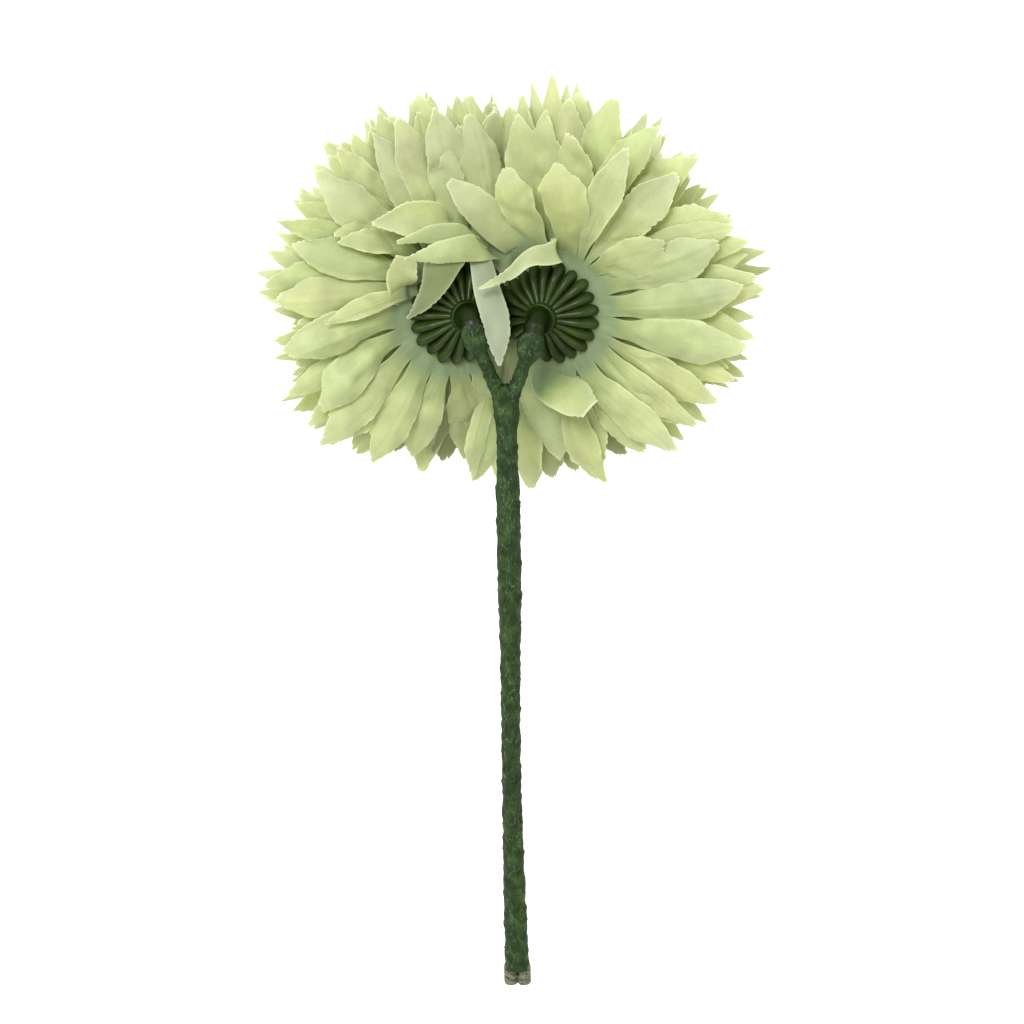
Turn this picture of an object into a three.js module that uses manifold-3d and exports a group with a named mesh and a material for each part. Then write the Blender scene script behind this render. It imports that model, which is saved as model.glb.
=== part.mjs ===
// A two-headed pompon chrysanthemum spray of fabric petals, lying on its two faces and its stem's cut end.
//
// Each head is a stack of stamped fabric sheets threaded on the peg of a ribbed plastic calyx. A wire runs
// from inside each calyx down the stem, and floral tape binds both wires into one stem.
//
// Millimetres, +Z up. The heads lie towards +Y and the stem runs towards -Y. The origin is under the middle
// of the object's box, on the surface that it lies on.
import * as THREE from "three";
import { mergeVertices } from "three/addons/utils/BufferGeometryUtils.js";
import Module from "manifold-3d";

// ---- Driving dimensions, in millimetres and degrees

// The two heads: where the back of the petal stack is, which way the back of the head leans, and the side of
// the wall between the heads that it is pressed against.
const BLOOMS = {
  left: { hub: [-16.6, 66.8, 50], lean: [0.29, -0.2, 0.94], side: -1, droop: 0.2, seed: 11 },
  right: { hub: [13.4, 67.4, 50], lean: [-0.37, -0.3, 0.88], side: 1, droop: 0.1, seed: 47 },
};
// The two heads press flat against each other along a slanted plane through this point. Each sheet keeps its
// own margin to that plane, and turns along it over the last few millimetres.
const WALL = { through: [-1.5, 0, 45], normal: [1, 0, -0.16], margin: 0.8, perSheet: 1.25, turn: 7 };

// The stamped sheets of one head, from the back (0) to the heart of the face (last).
const SHEETS = 9;
const SHEET_THICKNESS = 0.6;
const FIRST_DEPTH = 0.7; // from the calyx's underside to the middle of the first sheet
const SHEET_PITCH = 1.4;
const SHEET_HOLE = 2; // radius of the hole that the peg goes through
const PETALS_OF_SHEET = [17, 16, 15, 14, 13, 12, 10, 8, 6];
// A value with a first and a less gets smaller from sheet to sheet: less so much for each sheet behind it.
const BACK_SLIT = 19; // from the middle of the back sheet to where its slits begin
const SLIT = { first: 12, less: 1.05 }; // the same on the other sheets
const DISC_RING = 0.55; // where the back sheets' discs have a ring of points, as a share of the slits' start
const HALF_WIDTH = { first: 8.6, less: 0.45 }; // of a petal where it is widest
const PETAL_OUTLINE = [[0, 0.6], [0.45, 0.92], [0.84, 0.9], [1, 0]]; // half width along a petal
const PETAL_SHARE = 0.96; // how much of the angle between its slits a petal may fill
const PETAL_PUFF = 0.2; // how far its middle stands above its edges, in sheets
const UNEVEN = { turn: 0.13, size: 0.04, layer: 0.12 }; // seeded differences, in petals, sizes and sheets
const BACK_LAYER = 0.1; // the same as UNEVEN.layer on the back sheet
const SEEDS_APART = 7; // from one sheet's seed to the next one's
const DRAWS = { size: 50, layer: 100 }; // where a sheet's draws for the sizes and the layers begin

// The ball that the petal tips form.
const BALL_RADIUS = 61; // of the head across its petal tips
const BALL_LEAN = 0.12; // how much further the tips reach away from the stem than sideways, as a share
const BALL_DEPTH = 47; // from the middle of the ball to the middle of its face
const BALL_MIDDLE = 12; // depth of the ball's middle below the calyx
const SHORTEST_PETAL = 20;
const LONGEST_PETAL = 75;
const PETAL_STEP = 0.5;
const FLOOR_GAP = 0.4; // petals that would reach through the surface end this far above it

// How the fabric bends on its way out: flat in the middle, then up or down to its sheet's own angle.
const FLAT_RADIUS = { back: 15.5, heart: 1.5 };
const BEND_LENGTH = 13; // over which a petal turns to its angle
const OPEN_ANGLE = { back: 94, less: 8.5, faster: 0.4 }; // away from straight ahead, per sheet and its square
const CURL = { back: 4, less: 3.5, reach: 30 }; // more bend per 30 mm of reach, and how much less per sheet
const DROOP_POWER = 1.5; // a higher one keeps the droop to the petals nearest the stem
const LIFT_LENGTH = 14; // beyond the slit, over which a petal is lifted
const FABRIC_STEP = 1.5; // the fabric is followed in steps of this length

// The calyx: a dome of finger-like ribs with a collar, a socket tube behind and a peg in front.
const CALYX_RADIUS = 15.3;
const CALYX_RIBS = 21;
const CALYX_RISE = 7.4;
const RIB_HEIGHT = 1.7;
const RIB_NOTCH = 0.13; // how far the grooves cut into the outline, as a share of the radius
const RIB_PROFILE = [[0.26, 0.2], [0.55, 1], [0.85, 1], [1, 0.35]]; // height against radius, as shares
const RIM_HEIGHT = 0.5;
const RIM_DROP = 0.4; // how much lower the fingers' tips are than the rim
const LOWEST_GROOVE = 0.3;
const DOME_POWER = 1.5; // a higher one makes the dome fuller
const COLLAR_RADIUS = 4.3;
const COLLAR_TOP = 9;
const COLLAR_FLARE = 0.4;
const COLLAR_FOOT = 4;
const COLLAR_EDGE = 0.7;
const SOCKET_RADIUS = 3.1;
const SOCKET_START = 3; // along the wire's line
const PEG_RADIUS = 1.6;
const PEG_HEAD_RADIUS = 2.7;
const PEG_HEAD_HEIGHT = 0.8;
const PEG_POINT = 0.5; // how much further the middle of its head stands out
const PEG_SPARE = 1.4; // of the peg beyond the last sheet

// The wires and the tape round them.
const WIRE_RADIUS = 0.9;
const WIRE_CLEARANCE = 0.3;
const WIRE_START = 1.6; // height of its bore's end above the calyx's underside
const WIRE_SHORT = 0.5; // from the end of the bore to the wire's own end
const WIRE_STRAIGHT = 2.6; // how far it goes straight on beyond the collar
const WIRE_MEETS = 0.3; // share of the way from the fork to the next point where the wires have come together
const WIRE_APART = 1.4; // from the middle of the stem to each wire
const WIRE_APART_AT_FORK = 2;
const WIRE_STICKS_OUT = 0.6;
// The knob of tape over the end of each socket tube: radius against the distance from the knob's start.
const KNOB_RADII = [[0, 3.9], [1.6, 4.2], [4.6, 4.1], [7, 3.4], [9, 2.4]];
const KNOB_OVERLAP = 4.2; // how far the tape reaches over the socket tube
const TAPE_ON_SOCKET = 0.35; // clearance between the tape and the socket tube, and beyond its end
const CHANNEL_OVERLAP = 1; // how far the wire's channel in the tape begins inside the socket's
const BRANCH_PAST_FORK = 3; // how far each branch runs on inside the stem
const BRANCH_RADIUS = 2.3;
const SOCKET_ENDS = { left: [-10.2, 58, 62.3], right: [6.6, 54.8, 62.6] };
const FORK = [-1, 40.3, 55.5];
const STEM_TOP = [-1.2, 45.2, 56.3]; // where the tape closes the fork
const STEM_END = [2.7, -146, 4.1];
// Points that the middle of the stem passes through, between the fork and the cut end.
const STEM_ROUTE = [
  FORK, [-0.4, 9.7, 47], [0.2, -27.6, 36.6], [0.5, -65.8, 26.2], [1.3, -104.7, 15.4], STEM_END,
];
// The stem's radius against the distance from its top: thinner where the tape is pulled tight.
const STEM_RADII = [
  [0, 0.8], [0.8, 2.1], [2.2, 3.5], [4.5, 4.2], [10, 3.9], [15, 3.3], [21, 3.2], [35, 3.8], [67, 3.8],
  [85, 3.3], [105, 3.1], [130, 3.1], [155, 3.4], [177, 3.75], [205, 3.9],
];

// The back sheet's petals, one by one, because they show whole from behind:
// [azimuth, length from the middle of the sheet, half width, lift towards the back].
const BACK_PETALS = {
  left: [
    [6, 40, 5, 0], [28, 42, 5.5, 0], [50, 44, 6, 0], [73, 46, 6.5, 0], [96, 50, 6.5, 0],
    [117, 55, 7, 0], [135, 57, 7, 2], [152, 58, 7.5, 4], [172, 59, 8, 2], [193, 56, 8.5, 6],
    [213, 54, 8.5, 6], [231, 54, 7.5, 0], [248, 50, 7.5, 0], [265, 52, 7, 0], [283, 54, 6.5, 0],
    [304, 44, 5.5, 0], [333, 38, 5, 0],
  ],
  right: [
    [7, 60, 8, 2], [27, 56, 8, 10], [47, 60, 8, 4], [66, 57, 6.5, 22], [88, 50, 7, 46],
    [108, 50, 7, 38], [129, 52, 7.5, 30], [152, 44, 6, 0], [176, 40, 5, 0], [200, 40, 5, 0],
    [224, 44, 5.5, 0], [247, 55, 6.5, 0], [266, 58, 7.5, 6], [286, 58, 7, 2], [305, 57, 7.5, 0],
    [324, 58, 7.5, 0], [345, 60, 8, 4],
  ],
};

// Petals of the back sheet that were bent out of place: they fold over the calyx or across their neighbours.
// root: the azimuth at which the petal leaves the disc. path: [x, y, height behind the calyx's plane] along
// its middle. half: half widths from root to tip. across: which way its width runs, at its root and its tip.
const STRAY_PETALS = {
  left: [
    {
      root: 71, half: [2, 3.6, 4.2, 4.6, 4, 0.8], across: [[0.93, -0.34, -0.3], [0.97, 0.2, 0]],
      path: [[-10, 86.5, 3.4], [-8.8, 83.5, 8], [-7, 74, 13.5], [-4.8, 63, 18.5], [-3.2, 50.8, 21]],
    },
    {
      root: 98, half: [2.4, 5.4, 6.2, 4.8, 3, 0.8], across: [[0.97, 0.1, -0.25], [0.8, -0.6, 0]],
      path: [[-18, 87.6, 6], [-19.7, 83, 10.5], [-23.4, 74, 9], [-27.4, 68.6, 6.5], [-31.3, 65, 4.6]],
    },
    {
      root: 57, half: [2, 3.4, 4.2, 3.6, 0.8], across: [[-0.85, 0.41, 0.35], [0, 0.9, 0.4]],
      path: [[-5.4, 84.6, 4.5], [-8.5, 86, 11], [-17, 85, 14], [-31.8, 82.2, 12]],
    },
    {
      root: 86, half: [2, 5, 6.2, 5.6, 0.8], across: [[-1, 0.1, 0], [0, 1, 0.2]],
      path: [[-13, 88.5, 2.6], [-17, 92, 6.5], [-27, 94.5, 9.5], [-41.5, 93, 8.5]],
    },
    {
      root: 157, half: [2.6, 4.4, 4.8, 3.4], across: [[-0.36, -0.93, 0], [-1, 0, 0]],
      path: [[-33.4, 75, 3], [-32.4, 79, 5.5], [-31.2, 83.4, 6.5]],
    },
  ],
  right: [
    {
      root: 90, half: [2.4, 3.2, 3.8, 3, 1.8, 0.8], across: [[0.93, -0.3, 0.3], [0.47, -0.88, 0]],
      path: [
        [14.6, 85.6, 5.5], [12.3, 84.4, 9.5], [8.5, 82.2, 12.5], [3.5, 79.2, 15.5], [-2.5, 76.2, 20],
        [-9.7, 74, 24],
      ],
    },
    {
      root: 118, half: [5, 6.4, 5.8, 5.6, 5, 1.4], across: [[0.82, 0.34, 0.46], [0.64, 0.77, 0]],
      path: [[4.2, 87.6, 2.2], [-2.9, 92.8, 6], [-9.6, 98.9, 10.5], [-18.5, 106.6, 13.5]],
    },
    {
      root: 268, half: [5.6, 7, 7, 6.2, 4], across: [[0.93, -0.12, 0.35], [0.84, 0.54, 0]],
      path: [[13.8, 47.6, 4], [19, 42.8, 8], [24.4, 38.2, 11.5]],
    },
  ],
};
const STRAY_ROOT = [[17.2, -0.05], [20.2, 1.9]]; // [distance from the middle, height] inside the disc
const STRAY_TURN = 1.2; // a higher one turns its width sooner from the root's way to the tip's
const STRAY_CROWN = 0.12; // how far its middle stands up, as a share of its half width
const STRAY_RISE = 3; // a higher one lets its middle stand up sooner after the root
const STRAY_STATIONS = 3; // rows of points besides those of its path

// ---- Small helpers

const kernel = await Module();
kernel.setup();
const MERGE_WITHIN = 1e-4;
const FULL_TURN = 2 * Math.PI;
const vector = (xyz) => new THREE.Vector3(...xyz);
const radians = THREE.MathUtils.degToRad;
const clamp01 = (x) => Math.min(1, Math.max(0, x));
const smooth = (x) => clamp01(x) ** 2 * (3 - 2 * clamp01(x));

/** A repeatable draw between -1 and 1 for the numbers a and b. */
function draw(a, b) {
  const x = Math.sin(a * 12.9898 + b * 78.233) * 43758.5453;
  return 2 * (x - Math.floor(x)) - 1;
}

/** A value read from a list of [position, value] pairs, with straight lines between them. */
function along(pairs, position) {
  const next = pairs.findIndex(([at]) => at >= position);
  if (next <= 0) return next === 0 ? pairs[0][1] : pairs.at(-1)[1];
  const [[a, from], [b, to]] = [pairs[next - 1], pairs[next]];
  return from + ((to - from) * (position - a)) / (b - a);
}

/** A geometry of points and the triangles between them. */
function meshOf(points, index) {
  const geometry = new THREE.BufferGeometry();
  geometry.setAttribute("position", new THREE.Float32BufferAttribute(points.flatMap((p) => p.toArray()), 3));
  return geometry.setIndex(index);
}

/** A solid for joining and cutting, from a closed geometry. */
function solid(geometry) {
  const bare = new THREE.BufferGeometry().setAttribute("position", geometry.getAttribute("position"));
  const merged = mergeVertices(bare.setIndex(geometry.getIndex()), MERGE_WITHIN);
  const vertProperties = new Float32Array(merged.attributes.position.array);
  const triVerts = new Uint32Array(merged.index.array);
  return new kernel.Manifold(new kernel.Mesh({ numProp: 3, vertProperties, triVerts }));
}

/** The geometry of a joined or cut solid. */
function geometryOf(made) {
  const { vertProperties, triVerts } = made.getMesh();
  const geometry = new THREE.BufferGeometry();
  geometry.setAttribute("position", new THREE.BufferAttribute(new Float32Array(vertProperties), 3));
  geometry.setIndex(new THREE.BufferAttribute(new Uint32Array(triVerts), 1));
  return geometry;
}

/** Closes a sheet of triangles into a blade: a copy of each face, and a wall along each free edge. */
function thicken(points, faces, thickness) {
  const normals = points.map(() => new THREE.Vector3());
  for (const [a, b, c] of faces) {
    const side = points[c].clone().sub(points[a]);
    const face = points[b].clone().sub(points[a]).cross(side);
    for (const i of [a, b, c]) normals[i].add(face);
  }
  const count = points.length;
  const corners = [1, -1].flatMap((way) =>
    points.map((p, i) => p.clone().addScaledVector(normals[i].clone().normalize(), (way * thickness) / 2)),
  );
  const edges = new Set(faces.flatMap(([a, b, c]) => [`${a},${b}`, `${b},${c}`, `${c},${a}`]));
  const index = faces.flatMap(([a, b, c]) => [a, b, c, a + count, c + count, b + count]);
  for (const edge of edges) {
    const [a, b] = edge.split(",").map(Number);
    if (edges.has(`${b},${a}`)) continue;
    index.push(b, a, a + count, b, a + count, b + count);
  }
  return meshOf(corners, index);
}

/** Distances along a curve: close together up to a point, and further apart after it. */
function ringsAlong({ fine, until, coarse, end }) {
  const rings = [];
  for (let s = 0; s < end; s += s < until ? fine : coarse) rings.push(s);
  return rings;
}

const RING_GAP = 0.4; // a bar's end has no other ring closer to it than this

/**
 * A round bar along part of a curve: from and to are distances along it, and radius is a function of that
 * distance. Its rings stand at the grid's distances, so bars with the same grid nest inside each other.
 */
function bar(curve, from, to, radius, sides, grid) {
  const length = curve.getLength();
  const at = [from, ...grid.filter((s) => s > from + RING_GAP && s < to - RING_GAP), to];
  const rings = at.length;
  const points = [];
  let across = new THREE.Vector3(1, 0, 0);
  for (const distance of at) {
    const u = clamp01(distance / length);
    const ahead = curve.getTangentAt(u);
    const middle = curve.getPointAt(u).addScaledVector(ahead, distance - u * length);
    across = across.clone().addScaledVector(ahead, -across.dot(ahead)).normalize();
    const up = ahead.clone().cross(across);
    for (let k = 0; k < sides; k++) {
      const turn = (FULL_TURN * k) / sides;
      const out = across.clone().multiplyScalar(Math.cos(turn)).addScaledVector(up, Math.sin(turn));
      points.push(middle.clone().addScaledVector(out, radius(distance)));
    }
  }
  const index = [];
  for (let r = 0; r + 1 < rings; r++) {
    for (let k = 0; k < sides; k++) {
      const [a, b] = [r * sides + k, r * sides + ((k + 1) % sides)];
      index.push(a, b, b + sides, a, b + sides, a + sides);
    }
  }
  for (let k = 1; k + 1 < sides; k++) {
    const last = (rings - 1) * sides;
    index.push(0, k + 1, k, last, last + k, last + k + 1);
  }
  return solid(meshOf(points, index));
}

// ---- The petals

/** The head's own axes: back points out of the calyx, east and north span the sheets. */
function axesOf(bloom) {
  const back = vector(bloom.lean).normalize();
  const east = new THREE.Vector3(1, 0, 0).addScaledVector(back, -back.x).normalize();
  return { hub: vector(bloom.hub), back, east, north: back.clone().cross(east) };
}

/** How far a sheet's fabric points back from its own plane, in degrees, at a distance from its middle. */
function elevation(bloom, sheet, azimuth, reach) {
  const flatTo = FLAT_RADIUS.back + ((FLAT_RADIUS.heart - FLAT_RADIUS.back) * sheet) / (SHEETS - 1);
  const open = OPEN_ANGLE.back - OPEN_ANGLE.less * sheet - OPEN_ANGLE.faster * sheet ** 2;
  const sag = 1 - bloom.droop * Math.max(0, -Math.sin(azimuth)) ** DROOP_POWER;
  const curl = (CURL.back - CURL.less * sheet) * (reach / CURL.reach - 1);
  return (open * sag - 90 + curl) * smooth((reach - flatTo) / BEND_LENGTH);
}

/** How far the slits of a sheet are from its middle. */
const slitOf = (sheet) => (sheet === 0 ? BACK_SLIT : SLIT.first - SLIT.less * sheet);

/**
 * A point of a head's sheet, at an azimuth and a distance from its middle, measured along the fabric. It
 * turns down where it meets the wall between the heads, and each sheet stacks on the one behind it there.
 */
function sheetPoint(bloom, axes, sheet, azimuth, reach, lift = 0, slit = 0) {
  const eastward = axes.east.clone().multiplyScalar(Math.cos(azimuth));
  const out = eastward.addScaledVector(axes.north, Math.sin(azimuth));
  const point = axes.hub.clone().addScaledVector(axes.back, -FIRST_DEPTH - SHEET_PITCH * sheet);
  const margin = WALL.margin + WALL.perSheet * sheet;
  const wall = vector(WALL.normal).normalize().multiplyScalar(bloom.side);
  const down = new THREE.Vector3(0, 0, -1).addScaledVector(wall, wall.z).normalize();
  const steps = Math.max(1, Math.ceil(reach / FABRIC_STEP));
  const step = reach / steps;
  for (let k = 0; k < steps; k++) {
    const gone = (k + 0.5) * step;
    const raised = lift * smooth((gone - slit) / LIFT_LENGTH);
    const angle = radians(elevation(bloom, sheet, azimuth, gone) + raised);
    const way = out.clone().multiplyScalar(Math.cos(angle)).addScaledVector(axes.back, Math.sin(angle));
    const away = way.dot(wall);
    if (away < 0) {
      const room = point.clone().sub(vector(WALL.through)).dot(wall) - margin;
      const kept = away * smooth(room / WALL.turn);
      way.addScaledVector(wall, -away).addScaledVector(down, kept - away);
      way.setLength(Math.sqrt(1 - kept ** 2)).addScaledVector(wall, kept);
    }
    point.addScaledVector(way, step);
  }
  return point;
}

/** Whether a point lies inside the ball that the petal tips form, scaled by size, and above the surface. */
function insideBall(axes, point, size) {
  const from = point.clone().sub(axes.hub);
  const behind = from.dot(axes.back) + BALL_MIDDLE;
  const aside = Math.sqrt(Math.max(0, from.lengthSq() - from.dot(axes.back) ** 2));
  return (aside / (BALL_RADIUS * size)) ** 2 + (behind / (BALL_DEPTH * size)) ** 2 < 1 && point.z > FLOOR_GAP;
}

/** The length at which a petal's middle line meets the ball's outline. */
function ballLength(bloom, axes, sheet, azimuth, size) {
  let length = SHORTEST_PETAL;
  const inside = () => insideBall(axes, sheetPoint(bloom, axes, sheet, azimuth, length), size);
  while (length < LONGEST_PETAL && inside()) length += PETAL_STEP;
  return length;
}

/** The petals of a sheet: the back one's are listed, and the others are spread evenly, with seeded draws. */
function petalsOf(name, bloom, axes, sheet) {
  if (sheet === 0) {
    return BACK_PETALS[name].map(([azimuth, length, half, lift], k) => ({
      azimuth: radians(azimuth), length, half, lift, shift: BACK_LAYER * draw(bloom.seed, k),
    }));
  }
  const count = PETALS_OF_SHEET[sheet];
  const seed = bloom.seed + SEEDS_APART * sheet;
  const half = HALF_WIDTH.first - HALF_WIDTH.less * sheet;
  return Array.from({ length: count }, (_, k) => {
    const azimuth = ((k + 0.5 * (sheet % 2) + UNEVEN.turn * draw(seed, k)) * FULL_TURN) / count;
    const size = 1 + BALL_LEAN * Math.sin(azimuth) + UNEVEN.size * draw(seed, k + DRAWS.size);
    const length = ballLength(bloom, axes, sheet, azimuth, size);
    return { azimuth, length, half, lift: 0, shift: UNEVEN.layer * draw(seed, k + DRAWS.layer) };
  });
}

/** Half the angle that a petal takes up, at a distance from the middle and a share of its length. */
function halfAngle(bloom, axes, sheet, petal, reach, lengthShare, room) {
  const middle = sheetPoint(bloom, axes, sheet, petal.azimuth, reach).sub(axes.hub);
  const aside = Math.sqrt(Math.max(0, middle.lengthSq() - middle.dot(axes.back) ** 2));
  const half = petal.half * along(PETAL_OUTLINE, lengthShare);
  return Math.min(half / Math.max(aside, PEG_HEAD_RADIUS), room * PETAL_SHARE);
}

/** One stamped sheet: a disc with a hole, cut into petals beyond its slits. */
function stampedSheet(name, bloom, axes, sheet) {
  const petals = petalsOf(name, bloom, axes, sheet);
  const slit = slitOf(sheet);
  const rings = sheet < 2 ? [SHEET_HOLE, DISC_RING * slit, slit] : [SHEET_HOLE, slit];
  const stations = PETAL_OUTLINE.slice(1, -1).map(([share]) => share);
  const points = [];
  const faces = [];
  const place = (azimuth, reach, shift = 0, lift = 0) =>
    points.push(sheetPoint(bloom, axes, sheet + shift, azimuth, reach, lift, slit)) - 1;
  const strip = (a, b) => {
    for (let k = 0; k + 1 < a.length; k++) faces.push([a[k], b[k], b[k + 1]], [a[k], b[k + 1], a[k + 1]]);
  };

  const count = petals.length;
  const borders = petals.map((petal, k) => {
    const before = petals[(k + count - 1) % count].azimuth - (k === 0 ? FULL_TURN : 0);
    return (before + petal.azimuth) / 2;
  });
  const seams = borders.map((azimuth) => rings.map((reach) => place(azimuth, reach)));
  petals.forEach((petal, k) => {
    const next = (k + 1) % count;
    const last = borders[next] + (next === 0 ? FULL_TURN : 0);
    const room = Math.min(petal.azimuth - borders[k], last - petal.azimuth);
    const middles = rings.map((reach) => place(petal.azimuth, reach));
    rings.forEach((_, r) => {
      if (r === 0) return;
      strip([seams[k][r - 1], middles[r - 1], seams[next][r - 1]], [seams[k][r], middles[r], seams[next][r]]);
    });
    let row = [seams[k].at(-1), middles.at(-1), seams[next].at(-1)];
    for (const u of stations) {
      const reach = slit + (petal.length - slit) * u;
      const half = halfAngle(bloom, axes, sheet, petal, reach, u, room);
      const puff = PETAL_PUFF * Math.sin(Math.PI * u);
      const ahead = [-1, 0, 1].map((t) =>
        place(petal.azimuth + t * half, reach, petal.shift * u - (t === 0 ? puff : 0), petal.lift),
      );
      strip(row, ahead);
      row = ahead;
    }
    const tip = place(petal.azimuth, petal.length, petal.shift, petal.lift);
    faces.push([row[0], tip, row[1]], [row[1], tip, row[2]]);
  });
  return solid(thicken(points, faces, SHEET_THICKNESS));
}

/** A petal bent out of place, as a blade along a curve that starts in the disc of the back sheet. */
function strayPetal(bloom, axes, { root, half, across, path }) {
  const rise = (x, y, height) => {
    const over = (x - axes.hub.x) * axes.back.x + (y - axes.hub.y) * axes.back.y;
    return new THREE.Vector3(x, y, axes.hub.z + (height - over) / axes.back.z);
  };
  const start = STRAY_ROOT.map(([reach, height]) =>
    sheetPoint(bloom, axes, 0, radians(root), reach).addScaledVector(axes.back, height),
  );
  const curve = new THREE.CatmullRomCurve3([...start, ...path.map((p) => rise(...p))]);
  const widths = half.map((w, k) => [k / (half.length - 1), w]);
  const stations = path.length + STRAY_STATIONS;
  const points = [];
  const faces = [];
  for (let s = 0; s <= stations; s++) {
    const u = s / stations;
    const ahead = curve.getTangent(u);
    const wide = vector(across[0]).lerp(vector(across[1]), smooth(u * STRAY_TURN));
    wide.addScaledVector(ahead, -wide.dot(ahead)).normalize();
    const out = ahead.clone().cross(wide);
    const reach = along(widths, u);
    for (const t of [-1, 0, 1]) {
      const crown = t === 0 ? STRAY_CROWN * reach * smooth(u * STRAY_RISE) : 0;
      points.push(curve.getPoint(u).addScaledVector(wide, t * reach).addScaledVector(out, crown));
    }
    if (s === 0) continue;
    const [a, b] = [3 * (s - 1), 3 * s];
    for (const k of [0, 1]) faces.push([a + k, b + k, b + k + 1], [a + k, b + k + 1, a + k + 1]);
  }
  return solid(thicken(points, faces, SHEET_THICKNESS));
}

// ---- The calyx

const WIRE_RINGS = ringsAlong({ fine: 3, until: 44, coarse: 16, end: 260 });
const ROUND_SIDES = 12; // of round bodies, and fewer for the thinner ones
const BRANCH_SIDES = 10;
const WIRE_SIDES = 8;
const CUT_SPARE = 5; // how far a cutting body runs on past what it cuts

/** The ribbed dome, as a closed body in the head's own axes: a polar grid over a flat underside. */
function ribbedDome() {
  const rib = [0, 1, 1]; // a groove and the two edges of a finger
  const samples = rib.length * CALYX_RIBS;
  const points = [new THREE.Vector3(0, 0, CALYX_RISE)];
  for (const [share, ridgeShare] of RIB_PROFILE) {
    for (let k = 0; k < samples; k++) {
      const turn = (FULL_TURN * k) / samples;
      const ridge = rib[k % rib.length];
      const radius = CALYX_RADIUS * (1 - RIB_NOTCH * (1 - ridge)) * share;
      const dome = RIM_HEIGHT + (CALYX_RISE - RIM_HEIGHT) * (1 - share ** DOME_POWER);
      const height = dome + RIB_HEIGHT * ridge * ridgeShare - (share === 1 ? RIM_DROP : 0);
      points.push(
        new THREE.Vector3(radius * Math.cos(turn), radius * Math.sin(turn), Math.max(LOWEST_GROOVE, height)),
      );
    }
  }
  const rim = points.length - samples;
  for (let k = 0; k < samples; k++) points.push(points[rim + k].clone().setZ(0));
  points.push(new THREE.Vector3(0, 0, 0));
  const index = [];
  const bottom = points.length - 1;
  for (let k = 0; k < samples; k++) {
    const next = (k + 1) % samples;
    index.push(0, 1 + k, 1 + next);
    for (let r = 0; r < RIB_PROFILE.length; r++) {
      const [a, b] = [1 + r * samples + k, 1 + r * samples + next];
      index.push(a, a + samples, b + samples, a, b + samples, b);
    }
    index.push(bottom, bottom - samples + next, bottom - samples + k);
  }
  return meshOf(points, index);
}

/** The collar on top of the dome and the peg under it, turned round the head's axis. */
function collarAndPeg() {
  const pegEnd = -(FIRST_DEPTH + SHEET_PITCH * (SHEETS - 1) + PEG_SPARE);
  const foot = COLLAR_RADIUS + COLLAR_FLARE;
  const profile = [
    [0, COLLAR_TOP], [COLLAR_RADIUS - COLLAR_EDGE, COLLAR_TOP], [COLLAR_RADIUS, COLLAR_TOP - COLLAR_EDGE],
    [foot, COLLAR_FOOT], [foot, RIM_HEIGHT], [PEG_RADIUS, RIM_HEIGHT], [PEG_RADIUS, pegEnd],
    [PEG_HEAD_RADIUS, pegEnd], [PEG_HEAD_RADIUS, pegEnd - PEG_HEAD_HEIGHT],
    [0, pegEnd - PEG_HEAD_HEIGHT - PEG_POINT],
  ];
  const upwards = profile.reverse().map(([radius, height]) => new THREE.Vector2(radius, height));
  return new THREE.LatheGeometry(upwards, ROUND_SIDES).rotateX(Math.PI / 2);
}

/** The line of a wire from inside the calyx to the fork, and on down the stem beside the other wire. */
function wireRoute(name, bloom, axes) {
  const above = (height) => axes.hub.clone().addScaledVector(axes.back, height);
  const beside = (point, apart) => vector(point).add(new THREE.Vector3(bloom.side * apart, 0, 0));
  const afterFork = vector(FORK).lerp(vector(STEM_ROUTE[1]), WIRE_MEETS).toArray();
  const inCalyx = [above(WIRE_START), above(COLLAR_TOP + WIRE_STRAIGHT), vector(SOCKET_ENDS[name])];
  const branch = [beside(FORK, WIRE_APART_AT_FORK), beside(afterFork, WIRE_APART)];
  const stem = STEM_ROUTE.slice(1).map((point) => beside(point, WIRE_APART));
  return new THREE.CatmullRomCurve3([...inCalyx, ...branch, ...stem], false, "centripetal");
}

/** The distance along a curve at which it comes nearest to a point. */
function distanceTo(curve, point) {
  const length = curve.getLength();
  const step = 0.25;
  let best = 0;
  for (let s = 0; s <= length; s += step) {
    const now = curve.getPointAt(s / length).distanceTo(point);
    if (now < curve.getPointAt(best / length).distanceTo(point)) best = s;
  }
  return best;
}

/** The calyx of one head, bored for its wire. */
function calyx(axes, wire, socketEnd) {
  const placed = new THREE.Matrix4().makeBasis(axes.east, axes.north, axes.back).setPosition(axes.hub);
  const dome = solid(ribbedDome().applyMatrix4(placed));
  const turned = solid(collarAndPeg().applyMatrix4(placed));
  const socket = bar(wire, SOCKET_START, socketEnd, () => SOCKET_RADIUS, ROUND_SIDES, WIRE_RINGS);
  const bored = () => WIRE_RADIUS + WIRE_CLEARANCE;
  const bore = bar(wire, 0, socketEnd + CUT_SPARE, bored, WIRE_SIDES, WIRE_RINGS);
  return dome.add(turned).add(socket).subtract(bore);
}

// ---- Assembly

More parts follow.
